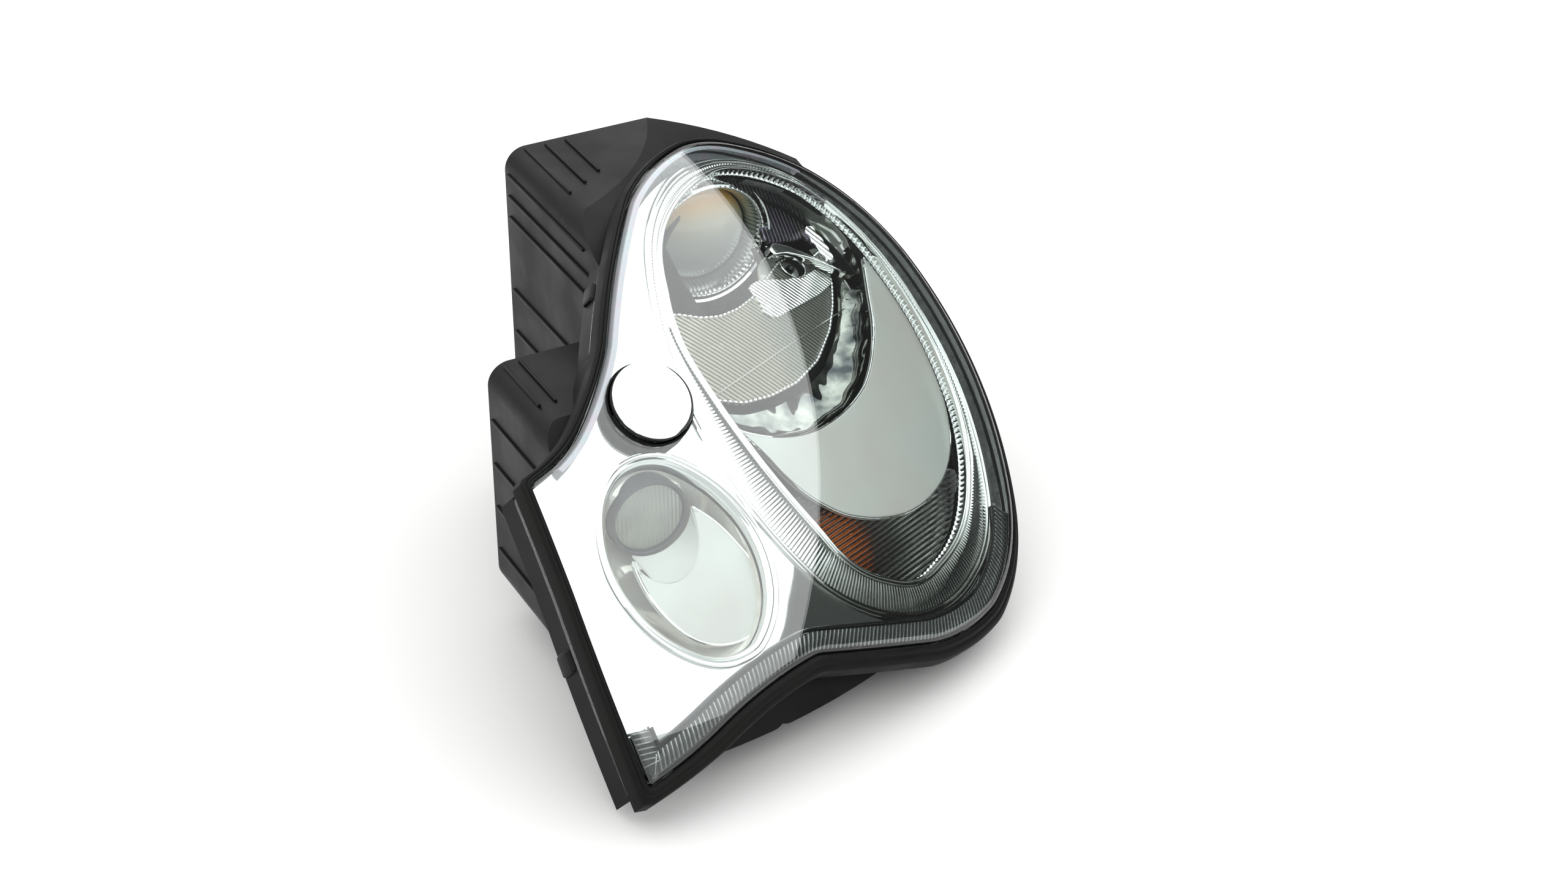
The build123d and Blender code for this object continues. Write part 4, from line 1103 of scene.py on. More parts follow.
@dataclass
class MainLamps:
    """Projector, high beam and top reflector on the levelling carrier."""

    projector: Row = (-7.0, -29.7, 203.0)
    glass_r: float = 36.0
    bowl_top: float = -29.5
    bowl_wall: float = 1.6
    body: str = "main_module"
    bowl_line: Outline = line_of(
        (178, 137), (163, 98), (140, 67), (110, 33), (87, 15), (44, -1), (11, -3), (-18, 10), (-36, 47),
        (-29, 117), (12, 180), (80, 212), (148, 194), (180, 150),
    )
    bead_line: Outline = line_of(
        (152, 122), (138, 102), (120, 81), (92, 57), (63, 42), (36, 35), (10, 33), (-16, 40), (-27, 70),
        (-24, 108), (-9, 109), (9, 103), (25, 102), (44, 106), (63, 114), (85, 128), (106, 142), (128, 150),
        (147, 145), (158, 135),
    )
    bright_line: Outline = line_of(
        (62, 122), (74, 127), (93, 127), (104, 126), (132, 131), (150, 139), (157, 133), (150, 121),
        (128, 111), (95, 101), (72, 94), (64, 98), (66, 108),
    )
    surround_line: Outline = line_of(
        (80, 122), (92, 143), (104, 151), (118, 153), (132, 156), (150, 155), (156, 140), (140, 130),
        (104, 124),
    )
    top_line: Outline = line_of(
        (99, 222), (117, 221), (137, 216), (150, 207), (163, 193), (166, 177), (156, 167), (138, 159),
        (102, 157), (103, 166), (114, 184), (116, 202), (110, 215),
    )

    def build(self) -> None:
        """Makes the lamps from the deepest to the nearest."""
        self.bowl()
        self.dish()
        wall = [(0.8, -38), (0, -38.8), (0, -41)]
        plate("top_reflector_flutes", RIBBED_DARK, [(self.top_line, wall)], Flutes(3.6, 0.5, 70, -39),
              body=self.body, replaces=["top_reflector"], lean=(0.22, -0.16))
        self.brow()
        self.projector_lamp()
        self.bulb()

    def scoop(self, high: Vector, low: Vector, steps: int, deep: float) -> list[Vector]:
        """Cross-section of a thin wall that curves down by a quarter turn.

        Args:
            high: upper end on the flat face.
            low: lower end on the flat face.
            steps: how many lengths the curve has.
            deep: how far it goes down, in mm.

        Returns:
            The points of the closed cross-section.
        """
        profile = []
        for i in range(steps + 1):
            a = math.radians(90 / steps * i)
            profile.append(Vector((*high.lerp(low, 1 - math.cos(a)), self.bowl_top - deep * math.sin(a))))
        return profile + [v - UP * self.bowl_wall for v in reversed(profile)]

    def bowl(self) -> None:
        """Smooth bowl round the high beam, its upper wall, and the bright floor above the dish."""
        centre = Vector((70, 95))
        high, low = (line.rays(centre, 360).points for line in (self.bowl_line, self.bead_line.grown(7.5)))
        sections = [self.scoop(high[degree % 360], low[degree % 360], 12, 18.5) for degree in range(-170, 27)]
        skin("high_beam_bowl", BOWL_MIRROR, sections, body=self.body, replaces=["high_beam_reflector"])
        stations = [((163, 139), (180, 146)), ((163, 152), (184, 156)), ((164, 165), (182, 168)),
                    ((171, 178), (176, 180)), ((171, 194), (167, 191)), ((156, 210), (153, 203)),
                    ((139, 220), (135, 210)), ((118, 226), (114, 215))]
        sections = []
        for (p, q), (p2, q2) in zip(stations, stations[1:]):
            for k in range(6):
                foot, crest = (Vector(a).lerp(Vector(b), k / 6) for a, b in ((p, p2), (q, q2)))
                sections.append(self.scoop(crest, foot, 8, 12.5))
        skin("high_beam_side_wall", BRIGHT, sections, body=self.body)
        wall = [(0.8, -50), (0, -50.8), (0, -52.5)]
        plate("high_beam_surround", BRIGHT, [(self.surround_line, wall)], cells=12,
              body=self.body, lean=(-0.1, 0.1))

    def dish(self) -> None:
        """Fluted reflector of the high beam with its beaded edge, and the brighter zone round the bulb."""
        socket = Outline.arcs([(131, 138, -3), (119, 147, -3), (107, 137, -3), (119, 128, -3)])
        contours = [(self.bead_line, [(0.8, -45), (0, -45.8), (0, -48)]), (socket, [(0.4, -45), (0, -48)])]
        plate("high_beam_flutes", RIBBED_SHADE, contours, Flutes(3.2, 0.2, -47, -46, wobble=0.2),
              body=self.body, replaces=["high_beam_lens"], lean=(0.17, -0.08))
        zone = self.bright_line.resampled(300).less(socket.grown(1.4).resampled(200))
        contours = [(zone, [(0.5, -43.2), (0, -43.7), (0, -45.5)])]
        plate("high_beam_bright_flutes", RIBBED_BRIGHT, contours, Flutes(3.2, 0.3, -47, -44, wobble=0.3),
              body=self.body, lean=(-0.16, 0.08))
        lip = ((-1.2, -43.4), (-0.7, -42.8), (0, -43.2), (0.2, -44.4), (-0.8, -44.6))
        skin("high_beam_socket_lip", MIRROR, socket.rings(lip), close=True, body=self.body)
        wall = ((-0.6, -44.2), (0.1, -44.4), (2, -57), (0.6, -58), (-1.4, -57))
        skin("high_beam_socket_wall", BLACK, socket.rings(wall), close=True, body=self.body)
        bm = bmesh.new()
        beads(bm, self.bead_line.grown(-0.4).at(-44.3), 1.2, 4.2)
        piece(bm, "high_beam_beads", MIRROR, self.body, sharp=60)
        ridge = ((-0.15, 0.4, -44.2), (0.15, -0.4, -44.2), (0, 0, -43.7))
        seam = [Vector((-12, 42, 0)).lerp(Vector((149, 99, 0)), i / 40) for i in range(41)]
        skin("high_beam_seam", MIRROR, [[p + Vector(q) for q in ridge] for p in seam], body=self.body)

    def brow(self) -> None:
        """Smooth bright wedges between the top reflector and the high beam."""
        brow = ((95, 149), (104, 155), (116, 152), (133, 143.5), (152, 134), (164, 125), (147, 133),
                (132, 140), (112, 145), (97, 144))
        wedge = ((144, 165), (150, 170), (157, 170), (159, 152), (157, 137), (147, 136), (144, 150))
        for name, spots, z, flutes, lean in (
            ("high_beam_brow", brow, -34.6, None, (-0.14, 0.16)),
            ("high_beam_wedge", wedge, -33, Flutes(5.2, 0.9, -53, -33.6), (-0.2, 0.12)),
        ):
            bevel = [(0.9, z), (0.4, z - 0.2), (0, z - 0.9), (0, z - 7)]
            plate(name, MIRROR, [(Outline.through(spots, 1.2), bevel)], flutes, body=self.body, lean=lean)

    def projector_lamp(self) -> None:
        """Thick glass in its toothed collar, the beads on the collar, a bright ring and the barrel."""
        where = facing(Vector(self.projector), FORWARD)
        r = self.glass_r
        turns = [math.radians(a) for a in (84, 72, 60, 45, 30, 15)]
        crown = [(r * math.sin(a), -2 + 11 * math.cos(a)) for a in turns]
        glass = [(0, -8), (r - 1, -8), (r, -7), (r, -2), *crown, (0, 9)]
        turned("projector_glass_disc", PROJECTOR_GLASS, where, glass,
               body=self.body, replaces=["projector_lens"], sharp=50)

        def tooth(rings: list[list[Vert]]) -> None:
            """Draws the inner rings of the collar in and out."""
            for ring in rings[1:4]:
                for i, v in enumerate(ring):
                    v.co.xy *= 1 + 0.010 * math.cos(math.pi * i / 2)

        collar = [(36.6, -4), (37, 1), (38, 6), (40, 11), (42, 14.4), (43.6, 15.2), (44.4, 14.2), (44, 10),
                  (42, 0), (41, -8), (37, -8)]
        turned("projector_collar", RIBBED, where, collar, 288, tooth,
               body=self.body, replaces=["projector_body"], sharp=20)
        bm = bmesh.new()
        beads(bm, [Vector((*around(i, 120, 43), 15.4)) for i in range(120)], 1.15, 4.1)
        bm.transform(where)
        piece(bm, "projector_beads", MIRROR, self.body, layout=Layout.PART, sharp=60)
        profile = ((45.2, 12), (46, 14.6), (47.6, 15.8), (49.4, 15.4), (50.6, 13.8), (51, 11), (49, 4),
                   (45, 4))
        middle, level, sections = 48, 12, []
        for i in range(72):
            k = min(1.0, (72 - i) / 14)
            rows = [(middle + (r - middle) * k, level + (z - level) * k) for r, z in profile]
            sections.append([where @ Vector((*around(3 * i - 175, 360, r), z)) for r, z in rows])
        skin("projector_outer_ring", MIRROR, sections, body=self.body, layout=Layout.PART)
        barrel = [(0, -9), (40, -9), (40, -12), (38, -50), (37, -62), (0, -62)]
        turned("projector_barrel", BLACK, where, barrel, 64, body=self.body)

    def bulb(self) -> None:
        """Grey bulb in its bright collar."""
        where = facing(Face.point(Vector((119, 137, -49))), Face.normal(Vector((119, 137, -45)), UP))
        profile = [(0, -8), (5.6, -8), (5.8, -5), (3.4, -4), (3.3, 1), (2.8, 3.2), (1.6, 4.4), (0, 4.8)]
        turned("high_beam_bulb_glass", SMOKED, where, profile, 32,
               body=self.body, replaces=["high_beam_bulb"])


@dataclass
class Indicator:
    """Fluted window of the indicator under the main plate, and the toothed wall round the opening."""

    line: Outline = field(
        default_factory=lambda: Outline.arcs(
            [(-14, -44, 0), (12, -74, -7), (56, -113, -6.5), (107, -109, -6.5), (162, -59, -5), (172, -40, 0)]
        )
    )
    tooth: float = 4.4
    tooth_depth: float = 2.6

    def build(self) -> None:
        """Makes the window with its slanted flutes, and the teeth."""
        contours = [(self.line, [(1.4, -27), (0.6, -27.6), (0.5, -28.4), (0.5, -30)])]
        plate("indicator_window", INDICATOR, contours, Flutes(3.4, 0.7, 17, -28),
              replaces=["indicator_lens"], lean=(0.1, -0.1))
        count = round(RIM_INNER.length() / self.tooth) * 4
        fine = RIM_INNER.resampled(count)
        waves = [self.tooth_depth * wave(i / 4) for i in range(count)]
        rows = ((0.2, -15.5, 0), (0.0, -16.5, 0.4), (-0.2, -18.5, 1.0), (-0.6, -20.5, 1.0),
                (-1.2, -21.8, 0.3), (2.2, -21.8, 0), (2.2, -15.5, 0))
        rings = [fine.shifted([out + deep * w for w in waves]).at(z) for out, z, deep in rows]
        skin("opening_teeth", MIRROR, rings, close=True, sharp=20)


@dataclass
class FogLamp:
    """Small lamp with its bowl and ribbed glass."""

    place: ClassVar[Vector] = Vector((-157.7, -252.0, 136.0))
    radius: ClassVar[float] = 25.3
    body: str = "fog_module"
    rib: float = 2.9
    rib_height: float = 0.5

    @classmethod
    def opening(cls, radius: float, depth: float) -> Outline:
        """Line where a round opening straight ahead of the lamp meets the ball at this depth."""
        made = []
        for i in range(120):
            turn = around(i, 120, radius)
            spot = cls.place + Vector((turn.x, 0, turn.y)) - Face.centre
            reach = math.sqrt((Face.radius - depth) ** 2 - spot.x**2 - spot.z**2)
            made.append(Face.flat(Face.centre + Vector((spot.x, -reach, spot.z))))
        return Outline.wound(made)

    def build(self) -> None:
        """Makes the bowl, the glass, its ring, and a gloss black ring shifted down and to the right round it
        as painted shadow.
        """
        self.bowl()
        where = facing(self.place, FORWARD)
        r = self.radius
        bm = bmesh.new()
        crown = [(r * 0.75, 2.4), (r * 0.5, 2.8), (r * 0.25, 3), (0, 3.1)]
        spin(bm, [(0, -5), (r - 0.8, -5), (r, -4), (r, 0.5), (r - 1.2, 1.8), *crown], SIDES)
        bisect(bm, ACROSS, self.rib / 4)
        for v in bm.verts:
            if v.co.z > 1.6:
                v.co.z += self.rib_height * wave(v.co.x / self.rib)
        bm.transform(where)
        piece(bm, "fog_glass", FOG_GLASS, self.body, replaces=["fog_lens"], layout=Layout.PART)
        ring = [(r + 0.1, -3), (r + 0.2, 3.6), (r + 0.7, 4.2), (r + 1.5, 4.2), (r + 2, 3.6), (r + 2.1, -20),
                (r + 0.1, -20)]
        turned("fog_glass_ring", GREY, where, ring, body=self.body)
        # Gloss black ring shifted down and to the right behind the glass, so a dark crescent shows at its
        # lower right as painted shadow.
        shadow_crescent = [(r - 3, 0.2), (r + 1, 0.6), (r + 2.2, -0.4), (r + 2.4, -3), (r - 3, -3)]
        turned("fog_glass_shadow_crescent", SMOKED, where @ Matrix.Translation((2.0, -2.4, -1.5)), shadow_crescent, body=self.body)

    def bowl(self) -> None:
        """Bowl from inside the rim down to the edge of the disc, which it follows so as not to hide it."""
        reach = self.radius + 2.8
        rim = []
        for i in range(720):
            turn = around(i, 720)
            rim.append(Face.flat(self.place + Vector((turn.x * reach, 5 - 3 * turn.y, turn.y * reach))))
        centre = sum((p.xy for p in rim), Vector((0, 0))) / len(rim)
        high = FOG_RIM.grown(-8.2).rays(centre, 160).points
        ways = [(q - centre).normalized() for q in high]
        low = [max(rim, key=lambda p: (p.xy - centre).normalized().dot(way)) for way in ways]
        rings = []
        for i in range(11):
            a = math.radians(9 * i)
            share, deep = 0.5 * (1 - math.cos(a)) + 0.05 * i, math.sin(a)
            depths = [-19.8 * (1 - deep) + min(q.z, -23) * deep for q in low]
            rings.append([Vector((*p.lerp(q.xy, share), z)) for p, q, z in zip(high, low, depths)])
        back = [[v - UP * 1.6 for v in ring] for ring in reversed(rings)]
        skin("fog_bowl", FOG_MIRROR, rings + back, close=True, body=self.body, replaces=["fog_reflector"],
             lean=(-0.12, 0.12))


@dataclass
class Washer:
    """Pop-up washer: cap, stem and the tube in the cover."""

    cap_r: float = 28.5
    proud: float = 7.0
    place: ClassVar[Vector] = Vector((-140.2, -223.97, 202.23))
    axis: ClassVar[Vector] = Vector((0.09159, -0.59698, 0.79701))

    @classmethod
    def hole(cls, radius: float, depth: float) -> Outline:
        """Line where a round hole about the washer's axis meets the ball at this depth."""
        side = cls.axis.cross(UP).normalized()
        up = side.cross(cls.axis)
        turns = [around(i, SIDES, radius) for i in range(SIDES)]
        spots = [cls.place + side * t.x + up * t.y for t in turns]
        return Outline.wound([Face.flat(spot - cls.axis * depth) for spot in spots])

    def build(self) -> None:
        """Makes the cap, its wall in gloss black as painted shade, and the rubber ring in the cover's hole,
        black as painted shade in the gap round the cap.
        """
        where = facing(self.place, self.axis)
        r, top = self.cap_r, self.proud
        dome = [(r * k, top - 1.1 * k * k) for k in (0.9, 0.75, 0.6, 0.45, 0.3, 0.15)]
        cap = [(0, top - 3), (r - 1.4, top - 3), (r - 0.5, top - 2.6), (r - 0.6, top - 1.7),
               (r - 1.8, top - 1.2), *dome, (0, top)]
        turned("washer_cap_shell", MIRROR, where, cap, body="washer", replaces=["washer_cap"])
        # The cap's wall in gloss black: painted shade round the chrome cap.
        wall = [(0, -1), (r - 2, -1), (r - 0.6, -0.6), (r, 0.4), (r, top - 3.2), (r - 0.4, top - 2.5),
                (r - 2, top - 2.9), (0, top - 2.9)]
        turned("washer_cap_wall", SMOKED, where, wall, body="washer")
        # Rubber ring in the gap round the cap, black so the gap reads as painted shade.
        ring = [(28.8, -6), (28.8, -1), (29.2, -0.4), (30, -0.4), (30.4, -1), (30.4, -6)]
        turned("washer_ring", RUBBER, where, ring)


@dataclass
class Strip:
    """Ribbed light band along the lower edge of the cover."""

    middle: float = 10.5
    half: float = 6.6
    rib: float = 3.4
    slant: float = 0.3
    step: float = 2.5

    def run(self, spacing: float) -> list[Vector]:
        """Evenly spaced points along the middle of the band."""
        path = LENS.grown(-self.middle).resampled(1400).run(STRIP_ZONE.holds)
        count = round(sum((a - b).length for a, b in zip(path, path[1:])) / spacing)
        return spread(path + path[::-1], count * 2)[: count + 1]

    def along(self, spacing: float, reach: int) -> list[tuple[Vector, Vector, Vector]]:
        """Each point along the band, the direction ahead over reach points each way, and the one aside."""
        spots, made = self.run(spacing), []
        for i, spot in enumerate(spots):
            ahead = (spots[min(i + reach, len(spots) - 1)] - spots[max(i - reach, 0)]).normalized()
            made.append((spot, ahead, Vector((-ahead.y, ahead.x))))
        return made

    def band(
        self, name: str, aside: float, section: Sequence[Spot], finish: Finish, **options: object
    ) -> None:
        """Bar of one cross-section beside the band's middle; options are what piece takes."""
        rings = []
        for spot, _, side in self.along(self.step, 2):
            rings.append([Vector((*(spot + side * (aside + across)), z)) for across, z in section])
        skin(name, finish, rings, **options)

    def build(self) -> None:
        """Makes the dark band, the ribs across it and the smooth lips beside it."""
        h = self.half
        base = ((-h, -11.3), (-h, -9.2), (-h + 0.6, -8.6), (0, -8.3), (h - 0.6, -8.6), (h, -9.2), (h, -11.3))
        self.band("light_strip_band", 0, base, STRIP, replaces=["light_strip"])
        lip = ((-0.9, -11.4), (-0.9, -8.4), (-0.4, -7.8), (0.4, -7.8), (0.9, -8.4), (0.9, -11.4))
        for name, aside in (("light_strip_inner_lip", h + 1.6), ("light_strip_outer_lip", -h - 1.4)):
            self.band(name, aside, lip, SMOKED)
        profile = ((-0.85, -8.9), (-0.7, -7.8), (-0.35, -7.35), (0.35, -7.35), (0.7, -7.8), (0.85, -8.9))
        stations = ((-h + 0.7, -0.35), (-h + 1.3, 0), (0, 0.25), (h - 1.3, 0), (h - 0.7, -0.35))
        bm = bmesh.new()
        for spot, ahead, side in self.along(self.rib, 1):
            way = side + ahead * self.slant
            bar(bm, [[Vector((*(spot + way * reach + ahead * k), z + drop)) for k, z in profile]
                     for reach, drop in stations])
        piece(bm, "light_strip_ribs", STRIP_RIB)


@dataclass
class Housing:
    """Moulded details of the housing: ribs, rear beads, screws and the clips round its flange."""

    rear: float = 60.0
    rise: float = 2.4
    rib: float = 2.2
    out: float = 1.8
    sunk: float = 0.6
    rib_end: float = 54.0
    sides: tuple[float, float, float, float] = (-118.0, 120.0, 12.0, 256.0)  # left, right, low, high
    fog: Row = (-208.0, 190.0, -110.0)  # left, high and rear face of the fog lamp's box

    def front(self, x: float, z: float) -> float:
        """Where the housing's wall starts behind the flange, along y."""
        reach = (Face.radius - 34) ** 2 - (x - Face.centre.x) ** 2 - (z - Face.centre.z) ** 2
        return Face.centre.y - math.sqrt(max(reach, 0.0)) + 12

    def build(self) -> None:
        """Makes every moulded detail."""
        self.back()
        self.walls()
        self.screws()
        self.clips()

    def back(self) -> None:
        """Bead round the rear face and the ribs across it."""
        left, right, low, high = self.sides
        hub = Vector((Face.centre.x, Face.centre.z))
        reach = math.sqrt((Face.radius - 42) ** 2 - (self.rear - Face.centre.y) ** 2)
        frame_points = rounded((left + right) / 2, (low + high) / 2, right - left - 10, high - low - 10, 9, 0)
        line = Outline([Vector((p.x, p.z)) for p in frame_points]).resampled(400)
        line = Outline([hub + (p - hub) * min(1.0, reach / (p - hub).length) for p in line.points])
        line = line.resampled(400).relaxed(2)
        rows = [(line.grown(-into).points, self.rear + y) for into, y in rolled(-self.sunk, 2, 4)]
        rings = [[Vector((p.x, y, p.y)) for p in points] for points, y in rows]
        skin("housing_back_bead", BLACK, rings, close=True, layout=Layout.PART)
        half, y0, y1 = self.rib / 2, self.rear - self.sunk, self.rear + self.rise
        level = ((224, -108, 32), (238, -108, 4), (62, -108, 110), (30, -108, 110), (120, -108, -74),
                 (150, -108, -74), (175, -108, -74), (122, 54, 110), (180, 54, 104))
        upright = ((-60, 62, 88), (-20, 62, 88), (20, 62, 88), (56, 62, 88), (-60, 224, 238), (-20, 224, 238))
        boxes = [(x0, y0, z - half, x1, y1, z + half) for z, x0, x1 in level]
        boxes += [(x - half, y0, z0, x + half, y1 - 0.3, z1) for x, z0, z1 in upright]
        moulded("housing_back_ribs", BLACK, (0.6, boxes))

    def walls(self) -> None:
        """Ribs along the sides, the top and the fog lamp's box."""
        left, right, _, high = self.sides
        fog_left, fog_high, fog_rear = self.fog
        half, out, sunk, end = self.rib / 2, self.out, self.sunk, self.rib_end
        boxes = [(right - sunk, self.front(right, z), z - half, right + out, end, z + half)
                 for z in (40, 70, 100, 130, 160)]
        starts = [(z, self.front(left, z)) for z in (205, 222, 239)]
        starts += [(z, fog_rear + 4) for z in (40, 75, 110, 145)]
        boxes += [(left - out, y, z - half, left + sunk, end, z + half) for z, y in starts]
        boxes += [(x - half, self.front(x, high), high - sunk, x + half, end, high + out)
                  for x in (-104, -88, -72)]
        moulded("housing_wall_ribs", BLACK, (0.6, boxes))
        end = fog_rear - 5
        boxes = [(fog_left - out, self.front(fog_left, z), z - half, fog_left + sunk, end, z + half)
                 for z in (45, 80, 115, 150)]
        boxes += [(x - half, self.front(x, fog_high), fog_high - sunk, x + half, end, fog_high + out)
                  for x in (-198, -186)]
        bm = bmesh.new()
        blocks(bm, boxes, 0.6)
        raised_frame(bm, -163, 101, (80, 168, 8), fog_rear - sunk, fog_rear + 1.8, 3.2)
        piece(bm, "fog_housing_ribs", BLACK, layout=Layout.PART)

    def screws(self) -> None:
        """Zinc screws with hexagon heads in raised bosses on the rear face."""
        boss = [(4.6, -0.5), (4.6, 3.4), (5.2, 4), (6.6, 4), (7.2, 3.4), (7.6, -0.5)]
        for index, (x, z) in enumerate(((-100, 231), (62, 200), (-104, 54), (104, 54)), start=1):
            where = facing(Vector((x, self.rear, z)), REARWARD)
            turned(f"rear_boss_{index}", BLACK, where, boss, 48)
            bm = bmesh.new()
            spin(bm, [(0, 0.2), (4.5, 0.2), (4.5, 1.6), (4.1, 1.9), (3.4, 2), (0, 2)], 48)
            spin(bm, [(0, 1.6), (3.5, 1.6), (3.5, 4.2), (3.1, 4.7), (0, 4.9)], 6)
            bm.transform(where)
            piece(bm, f"rear_screw_{index}", ZINC, layout=Layout.PART)

    def clips(self) -> None:
        """Spring clips that hold the cover's skirt on the flange."""
        count = 900
        line = LENS.resampled(count)
        path, ways = line.points, line.normals()
        section = ((0.1, -29.5), (1.4, -29.8), (2.2, -30.6), (2.4, -32), (2.4, -41), (1.6, -43), (0.1, -43.4))
        for index, share in enumerate((0.06, 0.16, 0.27, 0.38, 0.5, 0.62, 0.72, 0.82, 0.93), start=1):
            sections = []
            for k in range(-5, 6):
                i = (round(share * count) + k) % count
                pinch = 0.75 if abs(k) == 5 else 1.0
                rows = [(out * pinch, z * pinch - 36.4 * (1 - pinch)) for out, z in section]
                sections.append([Vector((*(path[i] + ways[i] * out), z)) for out, z in rows])
            skin(f"flange_clip_{index}", BLACK, sections)


@dataclass
class Service:
    """Details of the rear cover, the caps, the plug and the adjusters."""

    rear: float = 60.0

    def build(self) -> None:
        """Makes the details in turn."""
        bm = bmesh.new()
        for size in ((100, 90, 12), (76, 66, 9)):
            raised_frame(bm, -10, 160, size, 68.0, 70.0, 2.6)
        blocks(bm, [(x - 1.1, 68, 134, x + 1.1, 69.8, 186) for x in (-34, -22, -10, 2, 14)], 0.5)
        blocks(bm, [(-22, 66.5, 207, 2, 71.5, 212)], 1.2)
        piece(bm, "rear_cover_ribs", BLACK, "cover", layout=Layout.PART)
        latches = [(x - 5, 66.8, 176, x + 5, 70.6, 192) for x in (-59, 39)]
        catches = [(x - 3.4, 70, 178, x + 3.4, 71.8, 181) for x in (-59, 39)]
        moulded("rear_cover_latches", GREY, (1.0, latches), (0.7, catches), body="cover")
        pins = [(x - 0.8, 62, z - 0.8, x + 0.8, 74, z + 0.8) for x in (75, 84, 93) for z in (145.5, 154.5)]
        moulded("connector_pins", ZINC, (0.25, pins))
        bm = bmesh.new()
        blocks(bm, [(78, 63, 161.5, 90, 66.5, 165.5)], 0.6)
        blocks(bm, [(78, 63, 163.6, 80.4, 77, 165.5), (87.6, 63, 163.6, 90, 77, 165.5)], 0.5)
        raised_frame(bm, 84, 150, (36.4, 26.4, 4), 76.6, 79.4, 2.2)
        piece(bm, "connector_guard", GREY, layout=Layout.PART)
        self.knurls()
        collar = [(7.1, -0.4), (7.1, 1.6), (7.6, 2.2), (9, 2.2), (9.8, 1.4), (10, -0.4)]
        for index, (x, z) in enumerate(((-98, 200), (92, 100)), start=1):
            turned(f"adjuster_collar_{index}", BLACK, facing(Vector((x, self.rear, z)), REARWARD), collar, 48)

    def knurls(self) -> None:
        """Grip teeth round the fog lamp's bulb cap and slots in the vent cap."""
        for name, place, r, high, teeth, finish in (
            ("fog_cap_grip", (-165, -110, 110), 24.0, 7.0, 36, BLACK),
            ("vent_cap_rim", (-90, 60, 90), 8.0, 6.0, 14, RUBBER),
        ):

            def notch(rings: list[list[Vert]]) -> None:
                """Draws the outer rings in between the teeth."""
                for ring in rings[1:5]:
                    for i, v in enumerate(ring):
                        v.co.xy *= 1 - 0.9 / r * wave(i / 6)

            profile = [(r - 0.5, 0.2), (r + 1.1, 0.4), (r + 1.3, 0.9), (r + 1.3, high - 1),
                       (r + 0.9, high - 0.3), (r - 0.5, high)]
            turned(name, finish, facing(Vector(place), REARWARD), profile, teeth * 6, notch)


NODE_FINISHES = {
    BLACK: ("housing", "housing_frame", "fog_housing", "beam_carrier", "lock_lug", "guide_rail_right",
            "guide_rail_left", "levelling_motor", "fog_bulb_cap", "rear_cover", "pivot_post_1",
            "pivot_post_2", "pivot_post_3", "pivot_post_4"),
    WHITE: ("guide_pin_right", "guide_pin_left", "aim_adjuster_upper", "aim_adjuster_lower"),
    GREY: ("washer_tube", "washer_stem", "connector_socket"),
    STRIP: ("indicator_reflector",),
    AMBER: ("indicator_bulb",),
    ZINC: ("cover_pin",),
    RUBBER: ("vent_cap",),
}


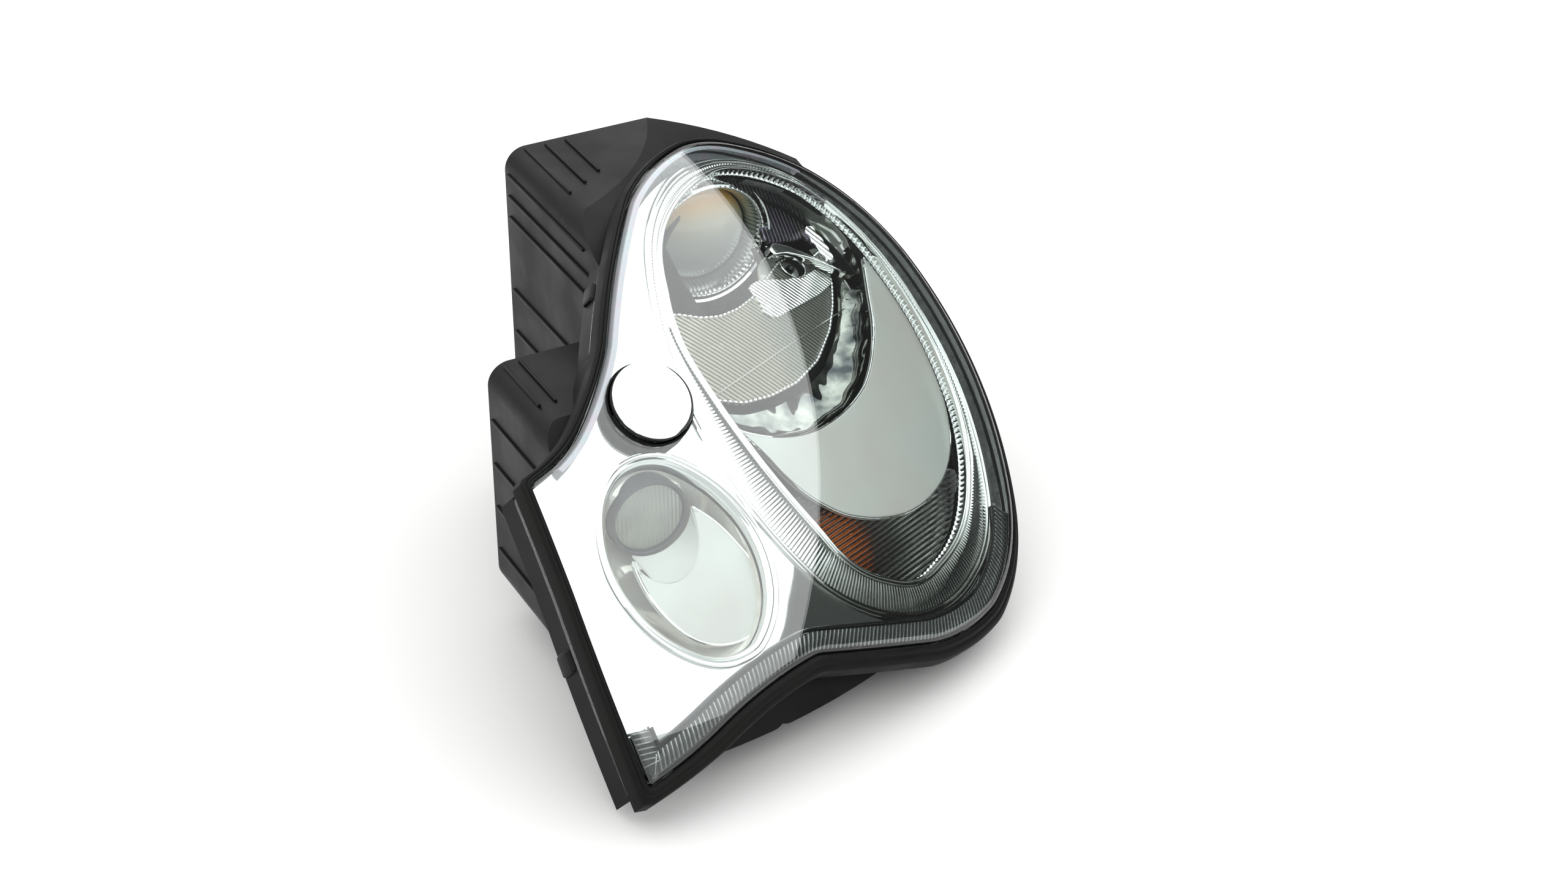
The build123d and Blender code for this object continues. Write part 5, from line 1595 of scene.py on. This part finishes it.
@dataclass
class Studio:
    """Pale floor, soft overhead card, dark wall card, world and camera."""

    height: float = 3.0
    edge: float = 1.8
    centre: Row = (-0.053, -0.246, 0.16)
    wall_far: float = 4.0
    floor_half: float = 9.0
    camera_angles: Spot = (-28.0, 32.0)
    camera_far: float = 2.0
    sensor: float = 36.0
    focal: float = 4900 / 2560  # of the camera's lens, in widths of the picture
    target: Row = (-0.053, -0.2457, 0.1596)

    def build(self) -> None:
        """Sets the lights, floor, world and camera."""
        self.floor()
        self.ceiling()
        self.wall()
        self.world()
        self.camera()

    def card(self, name: str, corners: Sequence[Row], surface: Callable[[Tree], Socket]) -> bpy.types.Object:
        """Flat card through four corners, with what surface adds to its material."""
        bm = bmesh.new()
        verts = bmesh.ops.create_circle(bm, cap_ends=True, segments=4, radius=1)["verts"]
        for v, corner in zip(verts, corners):
            v.co = Vector(corner)
        mesh = bpy.data.meshes.new(name)
        bm.to_mesh(mesh)
        bm.free()
        mesh.materials.append(material(name, surface))
        obj = bpy.data.objects.new(name, mesh)
        bpy.context.scene.collection.objects.link(obj)
        return obj

    def ceiling(self) -> None:
        """Overhead card: plain level for painted surfaces, brighter where metal and the cover mirror it."""

        def glow(tree: Tree) -> Socket:
            """Emission that mirrors see brighter."""
            glossy = add(tree, "LightPath").outputs["Is Glossy Ray"]
            level = add(tree, "MapRange", {"To Min": 1.5, "To Max": 2.7}, {"Value": glossy})
            return add(tree, "Emission", links={"Strength": level.outputs["Result"]}).outputs["Emission"]

        (x, y, z), h = self.centre, self.height
        left, right, near, far, top = x - 3 * h, x + self.edge * h, y - 2.2 * h, y + 2 * h, z + h
        corners = [(left, near, top), (right, near, top), (right, far, top), (left, far, top)]
        self.card("ceiling_card", corners, glow).visible_camera = False

    def wall(self) -> None:
        """Dark card that only mirrors see, at the lamp's outer side."""

        def dark(tree: Tree) -> Socket:
            """Faint glow of a dark wall."""
            values = {"Color": linear("#CDD0CB"), "Strength": 0.14}
            return add(tree, "Emission", values).outputs["Emission"]

        x, y, z = self.centre
        turns = (math.radians(40), math.radians(140))
        p, q = ((x + self.wall_far * math.sin(a), y - self.wall_far * math.cos(a)) for a in turns)
        card = self.card("wall_card", [(*p, z - 0.8), (*q, z - 0.8), (*q, z + 2.08), (*p, z + 1.37)], dark)
        card.visible_camera = card.visible_diffuse = card.visible_shadow = False

    def floor(self) -> None:
        """Pale floor that the unit stands on."""

        def paper(tree: Tree) -> Socket:
            """White paper that keeps the unit's shadow."""
            return add(tree, "BsdfDiffuse", {"Color": linear("#FAFAF9")}).outputs["BSDF"]

        z, h = CAD_BOX[0][2] - 0.0005, self.floor_half
        self.card("floor", [(-h, -h, z), (h, -h, z), (h, h, z), (-h, h, z)], paper)

    def world(self) -> None:
        """White surround for the camera, metal and glass, and a soft fill for the rest."""
        world = bpy.data.worlds.new("studio")
        bpy.context.scene.world = world
        world.use_nodes = True
        tree = world.node_tree
        tree.nodes.clear()
        path = add(tree, "LightPath").outputs
        seen = path["Is Camera Ray"]
        for other in ("Is Glossy Ray", "Is Transmission Ray"):
            seen = add(tree, "Math", links={0: seen, 1: path[other]}, operation="MAXIMUM").outputs["Value"]
        level = add(tree, "MapRange", {"To Min": 0.42, "To Max": 1.0}, {"Value": seen})
        back = add(tree, "Background", links={"Strength": level.outputs["Result"]})
        out = add(tree, "OutputWorld", links={"Surface": back.outputs["Background"]})
        out.is_active_output = True

    def camera(self) -> None:
        """Camera at the left of straight ahead, looking down on the unit."""
        data = bpy.data.cameras.new("camera")
        data.sensor_width, data.lens, data.clip_end = self.sensor, self.focal * self.sensor, 100.0
        obj = bpy.data.objects.new("camera", data)
        bpy.context.scene.collection.objects.link(obj)
        azimuth, elevation = (math.radians(angle) for angle in self.camera_angles)
        across, level = Vector((math.cos(azimuth), math.sin(azimuth), 0)), math.cos(elevation)
        back = Vector((math.sin(azimuth) * level, -math.cos(azimuth) * level, math.sin(elevation)))
        obj.matrix_world = facing(Vector(self.target) + back * self.camera_far, back, across)
        bpy.context.scene.camera = obj


MAIN_RIM_ROWS = (
    (0, 0, -14.6, 0), (0, -0.2, -11.6, 0), (0, 0.1, -10.6, 0), (0, 0.8, -10.1, 0), (0, 1.8, -10.1, 0),
    (0, 2.4, -10.6, 0), (0, 2.8, -11.3, 0), (0, 3.4, -11.4, 0), (0, 4.0, -10.9, 0), (0, 4.9, -10.8, 0),
    (0, 5.5, -11.2, 0), (0, 5.9, -11.9, 0), (0, 6.5, -12.1, 0.05), (0, 7.2, -12.0, 0.4),
    (0.55, 1.2, -12.2, 0.4), (1, -6.0, -12.9, 0.4), (1, -5.2, -13.2, 0.05), (1, -4.7, -13.1, 0),
    (1, -4.1, -12.5, 0), (1, -3.2, -12.4, 0), (1, -2.6, -12.9, 0), (1, -2.2, -13.3, 0), (1, -1.7, -13.0, 0),
    (1, -0.9, -12.9, 0), (1, -0.2, -13.4, 0), (1, 0, -14.2, 0), (1, 0, -16.2, 0), (1, -1.5, -16.4, 0),
    (1, -4, -15.6, 0),
)
FOG_RIM_ROWS = (
    (0, 0, -14.6, 0), (0, -0.2, -11.4, 0), (0, 0.2, -10.4, 0), (0, 1.0, -9.9, 0), (0, 2.0, -10.1, 0),
    (0, 2.6, -10.9, 0), (0, 3.1, -11.3, 0), (0, 3.8, -11.0, 0), (0, 4.6, -10.9, 0), (0, 5.4, -11.4, 0),
    (0, 5.9, -12.2, 0), (0, 6.6, -12.6, 0), (0, 7.4, -13.4, 0), (0, 8.0, -15.2, 0), (0, 8.1, -17.4, 0),
    (0, 7.2, -17.6, 0), (0, 5.0, -14.8, 0),
)


def main() -> None:
    """Builds the unit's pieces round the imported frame, in order."""
    logging.basicConfig(level=logging.INFO, format="%(message)s")
    bpy.context.scene.view_settings.view_transform = "Standard"
    rims = (
        Rim("main_rim_ring", "main_rim", RIM, RIM_INNER, MAIN_RIM_ROWS, 2.9, RING_MIRROR),
        Rim("fog_rim_ring", "fog_rim", FOG_RIM, FOG_RIM.grown(-8), FOG_RIM_ROWS, 4.0, MIRROR,
            per_flute=2, full_width=7.0),
    )
    lamps = (Plates(), MainLamps(), Indicator(), FogLamp(), Washer(), Strip())
    for unit in (Studio(), Cover(), Bezel(), *rims, *lamps, Housing(), Service()):
        unit.build()
    for finish, names in NODE_FINISHES.items():
        for name in names:
            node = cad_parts[name]
            node.data.materials.clear()
            node.data.materials.append(finish.material())
            LOG.info("%s: dressed in %s", name, finish.name)


if __name__ == "__main__":
    main()
